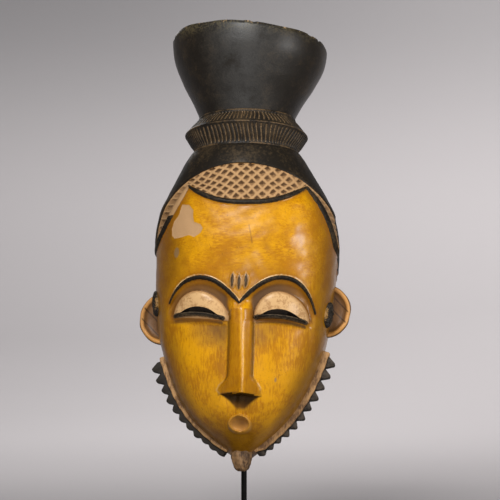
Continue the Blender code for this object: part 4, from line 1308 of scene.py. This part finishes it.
class Finish:
    """A procedural material whose surface is one Principled shader."""

    def __init__(self, name, **plain):
        self.material = bpy.data.materials.new(name)
        self.material.use_nodes = True
        self.tree = self.material.node_tree
        self.shader = self.tree.nodes["Principled BSDF"]
        for name, value in plain.items():
            self.socket(name).default_value = value
        self.place = self.node("ShaderNodeTexCoord", output="Object")

    def socket(self, name):
        return self.shader.inputs[name.replace("_", " ").title().replace("Ior", "IOR")]

    def node(self, kind, settings=None, inputs=None, output=0):
        new = self.tree.nodes.new(kind)
        for name, value in (settings or {}).items():
            setattr(new, name, value)
        for key, value in (inputs or {}).items():
            if isinstance(value, Wire):
                self.tree.links.new(value.socket, new.inputs[key])
            else:
                new.inputs[key].default_value = value
        return Wire(self, new.outputs[output])

    def speckle(self, size, detail=4.0, roughness=0.6, stretch=(1.0, 1.0, 1.0)):
        """Cloudy noise between nought and one, whose patches are about size across."""
        place = self.node("ShaderNodeMapping", {"vector_type": "POINT"},
                          {"Vector": self.place, "Scale": stretch})
        return self.node("ShaderNodeTexNoise", {}, {
            "Vector": place, "Scale": 1 / size, "Detail": detail, "Roughness": roughness})

    def layer(self, name):
        return self.node("ShaderNodeAttribute", {"attribute_name": name}, output="Fac")

    def mixed(self, below, above, share):
        """One colour laid over another."""
        return self.node("ShaderNodeMix", {"data_type": "RGBA"},
                         {0: share, 6: self.paint(below), 7: self.paint(above)}, 2)

    def mixed_in_turn(self, colour, ragged, coats):
        """Lay one coat after another where its layer is deep enough. A coat is a layer's name, how
        ragged its edge is, the depths where it starts and is full, its colour and its strength."""
        for name, raggedness, start, full, above, strength in coats:
            share = (self.layer(name) + ragged * raggedness).between(start, full)
            colour = self.mixed(colour, above, share * strength)
        return colour

    @staticmethod
    def paint(colour):
        return colour if isinstance(colour, Wire) else (*colour, 1.0)

    def set(self, **sockets):
        for name, value in sockets.items():
            self.tree.links.new(value.socket, self.socket(name))

    def relief(self, height, depth):
        """Fine relief: height between nought and one stands for depth metres."""
        bump = self.node("ShaderNodeBump", {},
                         {"Height": height, "Distance": depth, "Strength": 1.0})
        self.set(normal=bump)


YELLOW = (0.60, 0.275, 0.0020)
DEEP_YELLOW = (0.40, 0.155, 0.0014)
WASH_BROWN = (0.240, 0.082, 0.0020)
BROWN = (0.110, 0.042, 0.0028)
NOSE_SIDE_SHADE_BROWN = (0.270, 0.096, 0.0020)
ABOVE_BROW_BROWN = (0.20, 0.060, 0.006)
EDGE_BROWN = (0.220, 0.072, 0.0030)
CRACK_BROWN = (0.250, 0.080, 0.003)
ORBIT_SHADE_BROWN = (0.190, 0.070, 0.007)
SCRATCH_BROWN = (0.130, 0.055, 0.012)
KNOCK_BROWN = (0.200, 0.130, 0.066)
RUBBED_YELLOW = (0.33, 0.175, 0.055)
RUBBED_NOSE_AND_HIGHLIGHT = (0.52, 0.270, 0.070)
RUBBED_NOSTRIL = (0.46, 0.265, 0.090)
RUBBED_BROW = (0.62, 0.420, 0.200)
RUBBED_STRIP = (0.160, 0.115, 0.070)
MOUTH_RIM = (0.50, 0.235, 0.035)
MOUTH_TAN = (0.400, 0.190, 0.046)
SCAR_TAN = (0.40, 0.230, 0.095)
SCAR_BLACK = (0.028, 0.019, 0.012)
# Dark brown for real dirt and scratches, and for painted shade in the face's creases
DIRT_AND_SHADE_BROWN = (0.040, 0.020, 0.0080)
# Colours of the painted shadow under the nose
NOSE_SHADOW_BROWN = (0.090, 0.036, 0.0080)
NOSE_SHADOW_BLACK = (0.010, 0.0055, 0.0030)
BLACK = (0.0115, 0.0088, 0.0060)
BROWN_BLACK = (0.044, 0.030, 0.0160)
CREAM = (0.56, 0.345, 0.155)
CREAM_STAIN_AND_SHADE = (0.30, 0.150, 0.055)
BARE_WOOD = (0.42, 0.250, 0.120)
TAN_WOOD = (0.39, 0.230, 0.105)
PIT_SHADE_BROWN = (0.200, 0.110, 0.048)
PIT_WALL_SHADOW_BROWN = (0.060, 0.030, 0.013)
RAW_WOOD = (0.100, 0.052, 0.024)
TOOTH_BROWN = (0.062, 0.047, 0.034)
TUFT_BROWN = (0.080, 0.055, 0.032)
TUFT_EDGE = (0.32, 0.170, 0.045)
EAR_BROWN = (0.560, 0.260, 0.080)
EAR_RIM_BROWN = (0.50, 0.245, 0.072)
EAR_STREAK = (0.190, 0.084, 0.027)
EAR_LOBE = (0.46, 0.200, 0.030)
EAR_EDGE = (0.045, 0.022, 0.010)
CUP_HIGHLIGHT_GREY = (0.036, 0.035, 0.033)
CUP_OLIVE = (0.095, 0.078, 0.038)
CUP_CHIP = (0.27, 0.18, 0.095)
CUP_SCUFF = (0.085, 0.066, 0.042)
RING_BROWN = (0.048, 0.032, 0.016)
RING_EDGE = (0.15, 0.090, 0.040)
GROOVE_DARK = (0.070, 0.044, 0.022)
GROOVE_LIGHT = (0.190, 0.120, 0.058)
STEEL_BLACKS = (0.004, 0.0038, 0.0037), (0.008, 0.0075, 0.0072)
# Paper colours: the wall from left to right, lighter to the right as painted light, and painted
# shade for the wall's top and the floor
PAPER_WALL = (0.500, 0.474, 0.479), (0.525, 0.495, 0.500)
PAPER_TOP_SHADE = (0.250, 0.240, 0.244), (0.330, 0.314, 0.318)
PAPER_FLOOR_SHADE = (0.285, 0.271, 0.274)


def face_paint():
    """Worn yellow paint, black hair and lines, cream lids and bare carved wood, by the layers."""
    finish = Finish("worn_face_paint", coat_roughness=0.24, specular_ior_level=0.10)
    cloud = finish.speckle(0.030, 5)
    fine = finish.speckle(0.0022, 4)
    height = finish.layer("height")
    upright = finish.speckle(0.0016, 5, stretch=(1.0, 1.0, 0.22))
    level = finish.speckle(0.0014, 5, 0.7, stretch=(0.25, 1.0, 1.0))
    grain = upright + (level - upright) * (height + (cloud - 0.5) * 30).between(150.0, 185.0)
    ragged = (fine - 0.5) * 1.3
    across = finish.layer("across")
    yellow = finish.mixed(DEEP_YELLOW, YELLOW, (cloud + (grain - 0.5) * 0.9).between(0.32, 0.62))
    wash = (finish.speckle(0.020, 6, 0.7) + (grain - 0.5) * 0.6).between(0.46, 0.70)
    wash = wash * (height.between(140, 182) * 0.42 + 0.10)
    yellow = finish.mixed(yellow, WASH_BROWN, wash)
    low = 1 - (height + (cloud - 0.5) * 34).between(8.0, 70.0)
    side = (across + (cloud - 0.5) * 0.16).between(0.62, 0.95)
    yellow = finish.mixed(yellow, BROWN, low.larger(side * 0.85) * 0.82)
    # Painted shade on the nose's sides, which face away from the light
    nose_side_shade = (finish.layer("nose_side_shade") + ragged * 0.5).between(-0.3, 2.2)
    yellow = finish.mixed(yellow, NOSE_SIDE_SHADE_BROWN, nose_side_shade * (0.35 + cloud * 0.55))
    above_brows = height.between(152, 166) * (1 - height.between(172, 186))
    above_brows = above_brows * (1 - across.between(0.60, 0.85)) * cloud.between(0.35, 0.62)
    yellow = finish.mixed(yellow, ABOVE_BROW_BROWN, above_brows * 0.45)
    black_depth = finish.layer("black")
    beside = (black_depth + (cloud - 0.5) * 4.0).between(-5.5, -0.4)
    yellow = finish.mixed(yellow, EDGE_BROWN, beside * 0.50)
    cracks = finish.speckle(0.0017, 6, 0.8, stretch=(0.16, 1.0, 1.0)).between(0.56, 0.68)
    yellow = finish.mixed(yellow, CRACK_BROWN, cracks * height.between(160, 190) * 0.55)
    specks = finish.speckle(0.0011, 2).between(0.64, 0.70)
    specks = specks * finish.speckle(0.012, 3).between(0.45, 0.60)
    yellow = finish.mixed(yellow, BROWN, specks * 0.75)
    rubs = finish.speckle(0.0040, 6, 0.75, stretch=(1.0, 1.0, 0.35)).between(0.66, 0.72)
    yellow = finish.mixed(yellow, RUBBED_YELLOW, rubs * 0.45)
    yellow = finish.mixed_in_turn(yellow, ragged, (
        ("scratch", 0.6, -0.2, 0.8, SCRATCH_BROWN, 0.60),
        ("knock", 0.6, -0.2, 0.7, KNOCK_BROWN, 0.75),
        # painted shade in the creases round the lids, under the ledges and along the nose's walls
        ("painted_crease_shade", 0.6, -1.2, 1.0, DIRT_AND_SHADE_BROWN, 0.80),
        # rubbed paint and a painted highlight along the nose's ridge
        ("nose_ridge_wear_and_highlight", 0.7, -0.2, 1.2, RUBBED_NOSE_AND_HIGHLIGHT, 0.65),
        ("rim_of_mouth", 0.0, -0.6, 0.8, MOUTH_RIM, 0.70),
        ("mouth", 0.3, -0.1, 0.8, MOUTH_TAN, 0.80),
    ))
    # Painted shade in the hollows under the brows, darkest where they are deepest
    orbit_shade = (finish.layer("orbit_shade") + (cloud - 0.5) * 0.5).between(0.15, 0.95)
    yellow = finish.mixed(yellow, ORBIT_SHADE_BROWN, orbit_shade * 0.75)
    # Painted shadow under the nose: near black just below its tip, brown further down
    nose_shadow = (finish.layer("painted_nose_shadow") + ragged * 0.9).between(-1.4, 2.6)
    near_nose = (height + (fine - 0.5) * 3.0).between(53.0, 61.0)
    yellow = finish.mixed(yellow, finish.mixed(NOSE_SHADOW_BROWN, NOSE_SHADOW_BLACK, near_nose), nose_shadow * 0.93)
    nostril = finish.layer("nostril_worn") + ragged * 0.8 + (cloud - 0.5) * 2.0
    yellow = finish.mixed(yellow, RUBBED_NOSTRIL, nostril.between(0.0, 1.2) * 0.70)
    blotch = finish.speckle(0.0060, 6, 0.7)
    # Real brown stains on the lids' cream, and painted shade near each lid's outline
    stain = (blotch + (fine - 0.5) * 0.5).between(0.46, 0.66)
    lid = finish.layer("lid")
    near_rim = 1 - (lid + (blotch - 0.5) * 4.0).between(0.6, 3.2)
    cream = finish.mixed(CREAM, CREAM_STAIN_AND_SHADE, stain.larger(near_rim) * 0.75)
    colour = finish.mixed(yellow, cream, (lid + ragged * 0.5).between(-0.1, 0.5))
    bare = (finish.layer("bare") + ragged).between(-0.25, 0.25)
    colour = finish.mixed(colour, BARE_WOOD, bare)
    # Carved wood with painted shade in its pits and painted shadow on their upper walls
    tan = finish.mixed_in_turn(TAN_WOOD, fine - 0.5, (
        ("pit", 0.5, 0.02, 0.40, PIT_SHADE_BROWN, 0.85),
        ("pit_wall_shadow", 0.3, 0.06, 0.40, PIT_WALL_SHADOW_BROWN, 0.90),
    ))
    carved = (finish.layer("carved") + ragged * 0.4).between(-0.2, 0.2)
    colour = finish.mixed(colour, tan, carved)
    colour = finish.mixed_in_turn(colour, ragged, (
        ("scar", 0.6, -0.1, 0.6, SCAR_TAN, 0.75),
        ("scar_crest", 0.9, -0.2, 0.5, SCAR_BLACK, 0.90),
    ))
    worn = (finish.layer("brow_worn") + ragged * 0.9).between(-0.3, 0.6)
    worn = worn * (cloud + fine * 0.4).between(0.50, 0.75)
    colour = finish.mixed(colour, RUBBED_BROW, worn * 0.85)
    black = (black_depth + ragged * 1.1).between(-0.30, 0.30)
    rubbed = (cloud + (fine - 0.5) * 0.9).between(0.42, 0.74)
    dark = finish.mixed_in_turn(finish.mixed(BLACK, BROWN_BLACK, rubbed), ragged, (
        ("left_ridge", 0.8, -0.2, 0.6, TAN_WOOD, 0.85),
        ("strip_top", 1.2, 0.1, 0.9, RUBBED_STRIP, 0.55),
    ))
    colour = finish.mixed(colour, dark, black)
    inner = 1 - finish.layer("shell").between(INNER_SHELL, INNER_SHELL + 0.04)
    colour = finish.mixed(colour, RAW_WOOD, inner)
    gloss = finish.speckle(0.009, 4)
    matt = bare.larger(carved).larger(lid.between(0.0, 0.6) * 0.6)
    rough = 0.38 + (gloss - 0.5) * 0.24 + matt * 0.30 + black * 0.20 + low * 0.06
    shine = (1 - matt) * (1 - nose_shadow) * (1 - black * 0.9) * (1 - inner)
    finish.set(base_color=colour, roughness=rough + inner * 0.4, coat_weight=shine * 0.42)
    bumps = fine * 0.35 + grain * 0.45 + (1 - black) * 0.25 + finish.speckle(0.006, 3) * 0.6
    finish.relief(bumps, 0.00032)
    return finish.material


def tooth_paint(name, wear):
    """Dull black teeth, rubbed to grey-brown on their faces, with an unrubbed black line of painted
    shadow under the strip.
    """
    finish = Finish(name, specular_ior_level=0.20)
    beyond = finish.layer("beyond")
    cloud = finish.speckle(0.008, 5)
    fine = finish.speckle(0.0014, 4)
    # No rubbing within about a millimetre of the strip: a black line of painted shadow under its
    # step
    rubbed = (beyond + (fine - 0.5) * 2.0).between(1.0, 2.6)
    rubbed = rubbed * (cloud + (fine - 0.5) * 0.6).between(0.30, 0.60)
    colour = finish.mixed(BLACK, TOOTH_BROWN, rubbed * wear)
    finish.set(base_color=colour, roughness=0.62 + (cloud - 0.5) * 0.2)
    finish.relief(fine * 0.5 + cloud, 0.0004)
    return finish.material


def tuft_paint():
    """Black hair with small pits, and a pale rubbed edge at its front."""
    finish = Finish("pitted_black_hair", specular_ior_level=0.25)
    fine = finish.speckle(0.0012, 4)
    pits = finish.speckle(0.0026, 2).between(0.50, 0.62)
    colour = finish.mixed(BLACK, TUFT_BROWN, fine.between(0.45, 0.75))
    front = (finish.layer("front") + (fine - 0.5) * 0.6).between(0.84, 1.00)
    colour = finish.mixed(colour, TUFT_EDGE, front * 0.80)
    finish.set(base_color=colour, roughness=0.60 + (fine - 0.5) * 0.2)
    finish.relief(fine * 0.3 + pits, 0.0007)
    return finish.material


def ear_paint():
    """Orange-brown wood, a little darker on the rim, with dark streaks and scratches across the
    dish.
    """
    finish = Finish("rubbed_ear_paint", coat_weight=0.12, coat_roughness=0.35,
                    specular_ior_level=0.15)
    inset = finish.layer("inset")
    cloud = finish.speckle(0.010, 5, 0.65)
    fine = finish.speckle(0.0012, 4)
    grain = finish.speckle(0.0018, 5, stretch=(1.0, 1.0, 0.2))
    dish = (inset + (cloud - 0.5) * 3).between(2.6, 5.5)
    colour = finish.mixed(EAR_RIM_BROWN, EAR_BROWN, dish)
    streaks = dish * (cloud + (grain - 0.5) * 0.9).between(0.46, 0.66)
    colour = finish.mixed(colour, EAR_STREAK, streaks * 0.40)
    low = finish.layer("low")
    lobe = low.between(0.45, 0.75) * (1 - low.between(0.82, 0.95))
    colour = finish.mixed(colour, EAR_LOBE, lobe * 0.55)
    slant = finish.layer("slant")
    marks = (1 - ((slant - 9.0) * 0.7) ** 2).larger(1 - ((slant - 21.0) * 0.8) ** 2)
    marks = (marks + (fine - 0.5) * 1.2).between(0.1, 0.9) * inset.between(1.5, 3.0)
    colour = finish.mixed(colour, DIRT_AND_SHADE_BROWN, marks * 0.75)
    behind = finish.layer("behind").between(1.0, 2.5)
    edge = (1 - (inset + fine - 0.5).between(0.3, 1.0)).larger(behind)
    colour = finish.mixed(colour, EAR_EDGE, edge * 0.8)
    finish.set(base_color=colour, roughness=0.48 + (cloud - 0.5) * 0.2)
    finish.relief(grain * 0.8 + fine * 0.5, 0.00045)
    return finish.material


def cup_paint():
    """Satin black with a painted highlight down its middle, rubbed to a greenish brown near the
    rim, with pale chips along its edge.
    """
    finish = Finish("rubbed_black_cup", coat_roughness=0.36, specular_ior_level=0.15)
    up = finish.layer("up")
    turn = finish.layer("turn")
    cloud = finish.speckle(0.016, 6, 0.7)
    fine = finish.speckle(0.0015, 4)
    colour = finish.mixed(BLACK, BROWN_BLACK, (cloud + (fine - 0.5) * 0.5).between(0.45, 0.85))
    # A painted highlight: a soft grey band down the middle of the front, and likewise at the back
    painted_highlight = turn.between(-0.75, -0.15) * (1 - turn.between(0.05, 0.70))
    painted_highlight = painted_highlight * (cloud + fine * 0.3).between(0.35, 0.75)
    colour = finish.mixed(colour, CUP_HIGHLIGHT_GREY, painted_highlight * 0.75)
    band = up.between(0.84, 1.0) * (1 - turn.between(-0.6, 1.2) * 0.6)
    olive = band * (cloud + (fine - 0.5) * 1.8).between(0.46, 0.60)
    colour = finish.mixed(colour, CUP_OLIVE, olive * 0.60)
    at_rim = up.between(0.965, 0.985) * (1 - up.between(1.02, 1.04))
    chips = at_rim * finish.speckle(0.006, 5, 0.75).between(0.57, 0.61)
    colour = finish.mixed(colour, CUP_CHIP, chips)
    scuffs = finish.speckle(0.0024, 6, 0.8, stretch=(0.5, 0.5, 1.0)).between(0.64, 0.70)
    colour = finish.mixed(colour, CUP_SCUFF, scuffs * 0.65)
    on_top = up.between(1.00, 1.03)
    rough = 0.46 + (cloud - 0.5) * 0.20 + olive * 0.15 + on_top * 0.25
    finish.set(base_color=colour, roughness=rough, coat_weight=(1 - on_top) * 0.25)
    finish.relief(fine * 0.4 + cloud, 0.0005)
    return finish.material


def ring_paint():
    """Brown-black ridges between light grooves, with rubbed edges."""
    finish = Finish("grooved_ring", coat_weight=0.05, coat_roughness=0.40,
                    specular_ior_level=0.20)
    groove = finish.layer("groove")
    edge = finish.layer("edge")
    fine = finish.speckle(0.0012, 4)
    cloud = finish.speckle(0.012, 5)
    ridge = finish.mixed(BLACK, RING_BROWN, (cloud + (fine - 0.5) * 0.6).between(0.40, 0.75))
    light = finish.mixed(GROOVE_DARK, GROOVE_LIGHT, fine.between(0.35, 0.70))
    colour = finish.mixed(ridge, light, (groove + (fine - 0.5) * 0.5).between(0.35, 0.85))
    rubbed = 1 - (edge + (fine - 0.5) * 0.8).between(0.2, 0.9)
    rubbed = rubbed * (cloud + (fine - 0.5) * 0.5).between(0.40, 0.60)
    colour = finish.mixed(colour, RING_EDGE, rubbed * 0.7)
    finish.set(base_color=colour, roughness=0.52 + (cloud - 0.5) * 0.2)
    finish.relief(fine, 0.0003)
    return finish.material


def plain_wood(name, light, dark, roughness, grain_size=0.0015):
    """Streaky bare wood with dark grime in its pores."""
    finish = Finish(name, coat_weight=0.04, coat_roughness=0.4, specular_ior_level=0.20)
    grain = finish.speckle(grain_size, 5, stretch=(1.0, 1.0, 0.2))
    cloud = finish.speckle(0.012, 5, 0.65)
    fine = finish.speckle(0.0012, 3)
    colour = finish.mixed(light, dark, (cloud + (grain - 0.5) * 0.8).between(0.38, 0.66))
    colour = finish.mixed(colour, DIRT_AND_SHADE_BROWN, (fine + (cloud - 0.5) * 0.4).between(0.66, 0.76) * 0.6)
    finish.set(base_color=colour, roughness=roughness + (cloud - 0.5) * 0.2)
    finish.relief(grain * 0.8 + fine * 0.4, 0.0004)
    return finish.material


def stand_black():
    finish = Finish("satin_black_steel", specular_ior_level=0.08)
    fine = finish.speckle(0.0010, 3)
    cloud = finish.speckle(0.030, 4)
    colour = finish.mixed(*STEEL_BLACKS, cloud.between(0.35, 0.65))
    finish.set(base_color=colour, roughness=0.60 + (fine - 0.5) * 0.25)
    finish.relief(fine, 0.00008)
    return finish.material


def backdrop_paint():
    """Grey paper with painted light and shade: painted shade at the top of the wall behind the mask
    and on the floor near it, and painted light towards the right.
    """
    finish = Finish("studio_paper", roughness=0.95, specular_ior_level=0.1)
    across, depth, up = (finish.node("ShaderNodeSeparateXYZ", {}, {0: finish.place}, axis)
                         for axis in "XYZ")
    # Painted light: the paper lightens towards the right
    right = across.between(-0.60, 0.60)
    wall = finish.mixed(*PAPER_WALL, right)
    top = finish.mixed(*PAPER_TOP_SHADE, right)
    # Painted shade at the top of the wall behind the mask, and on the floor in front of and just
    # behind it
    colour = finish.mixed(wall, top, up.between(0.35, 0.95) * depth.between(1.5, 2.2))
    colour = finish.mixed(PAPER_FLOOR_SHADE, colour, depth.between(0.10, 0.90))
    finish.set(base_color=colour)
    return finish.material


# The studio

BOWL_RADIUS = 2.9
BOWL_BEND = 1.3
BOWL_HEIGHT = 3.2
BOWL_FLOOR_RADII = (0.5, 1.0, 1.3)
BOWL_SIDES = 96


def studio():
    """A round paper bowl: a flat floor that bends up into a wall, the same from every side."""
    turns = np.linspace(0, math.pi / 2, 13)
    curve = BOWL_RADIUS - BOWL_BEND + BOWL_BEND * np.sin(turns)
    radii = np.concatenate([BOWL_FLOOR_RADII, curve, [BOWL_RADIUS]])
    heights = np.concatenate([[0.0] * len(BOWL_FLOOR_RADII),
                              BOWL_BEND - BOWL_BEND * np.cos(turns), [BOWL_HEIGHT]])
    around = np.linspace(0, 2 * math.pi, BOWL_SIDES, endpoint=False)
    points = [(r * math.sin(a), r * math.cos(a), z)
              for r, z in zip(radii, heights) for a in around]
    faces = ring_faces(len(radii), BOWL_SIDES, closed_ends=False)
    faces.append(tuple(reversed(range(BOWL_SIDES))))
    mesh = bpy.data.meshes.new("studio_bowl")
    mesh.from_pydata(points, [], faces)
    mesh.shade_smooth()
    bowl = bpy.data.objects.new("studio_bowl", mesh)
    bpy.context.scene.collection.objects.link(bowl)
    bowl.data.materials.append(backdrop_paint())


def soft_light(name, place, target, size, power):
    data = bpy.data.lights.new(name, "AREA")
    data.shape = "RECTANGLE"
    data.size, data.size_y = size
    data.energy = power
    lamp = bpy.data.objects.new(name, data)
    lamp.location = place
    lamp.rotation_euler = (Vector(target) - Vector(place)).to_track_quat("-Z", "Y").to_euler()
    bpy.context.scene.collection.objects.link(lamp)


def lights():
    middle = (0.0, -0.02, 0.30)
    soft_light("key_light", (-0.20, -1.30, 1.25), middle, (0.50, 0.40), 27.5)
    soft_light("side_light", (1.25, -0.85, 0.46), middle, (0.40, 0.40), 11.5)
    soft_light("low_card", (-0.02, -1.20, 0.08), (0.0, -0.03, 0.46), (0.22, 0.14), 1.2)
    soft_light("paper_light", (0.42, 1.5, 1.60), (0.08, 2.90, 0.40), (1.6, 0.5), 27.0)
    soft_light("front_paper_light", (0.0, -1.5, 1.60), (0.0, -2.90, 0.40), (1.6, 0.5), 15.0)
    soft_light("back_light", (-0.35, 1.6, 1.15), middle, (0.9, 0.7), 9.0)
    world = bpy.data.worlds.new("soft_room")
    world.use_nodes = True
    ground = world.node_tree.nodes["Background"]
    ground.inputs["Color"].default_value = (0.92, 0.90, 0.88, 1.0)
    ground.inputs["Strength"].default_value = 0.04
    bpy.context.scene.world = world
    bpy.context.scene.view_settings.view_transform = "Standard"


CAMERA_DISTANCE = 1.8
CAMERA_HEIGHT = 0.306
CAMERA_TURN = math.radians(4.0)
METRES_PER_PIXEL = 0.925e-3
PHOTO_WIDTH = 500
SENSOR = 36.0
ROD_PIXEL = 244.0


def camera():
    data = bpy.data.cameras.new("photo_camera")
    data.sensor_width = SENSOR
    data.lens = SENSOR * CAMERA_DISTANCE / (PHOTO_WIDTH * METRES_PER_PIXEL)
    data.shift_x = (PHOTO_WIDTH / 2 - ROD_PIXEL) / PHOTO_WIDTH
    view = bpy.data.objects.new("photo_camera", data)
    view.location = (math.sin(CAMERA_TURN) * CAMERA_DISTANCE,
                     ROD_BEHIND_CENTRE - math.cos(CAMERA_TURN) * CAMERA_DISTANCE, CAMERA_HEIGHT)
    view.rotation_euler = (math.pi / 2, 0, CAMERA_TURN)
    bpy.context.scene.collection.objects.link(view)
    bpy.context.scene.camera = view


def mask():
    tooth_black = {side: tooth_paint(f"black_teeth_{SIDE_NAMES[side]}", wear)
                   for side, wear in ((-1, 0.20), (1, 0.85))}
    hair_black = tuft_paint()
    ear_wood = ear_paint()
    strip_wood = plain_wood("tan_strip_wood", (0.44, 0.245, 0.100), (0.165, 0.085, 0.036), 0.55)
    raw_wood = plain_wood("raw_hollow_wood", RAW_WOOD, (0.045, 0.024, 0.012), 0.75, 0.003)
    beard_wood = plain_wood("beard_wood", (0.22, 0.125, 0.056), (0.060, 0.032, 0.016), 0.55)
    slit_wood = plain_wood("shaded_slit_wood", (0.016, 0.010, 0.006), (0.006, 0.004, 0.003), 0.85)
    dressed(stand_up(head(), 60), face_paint(), raw_wood, slit_wood)
    dressed(stand_up(neck_ring(), 60), ring_paint())
    dressed(stand_up(cup(), 60), cup_paint())
    dressed(stand_up(beard(), 60), beard_wood)
    for side in (-1, 1):
        dressed(stand_up(ear(side)), ear_wood)
        dressed(stand_up(tuft(side)), hair_black)
        teeth, strip = collar(side)
        dressed(stand_up(teeth, 35), tooth_black[side])
        dressed(stand_up(strip, 35), strip_wood)


def stand():
    steel = stand_black()
    for name in ("stand_rod", "stand_foot"):
        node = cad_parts[name]
        node.data.materials.clear()
        node.data.materials.append(steel)


mask()
stand()
studio()
lights()
camera()
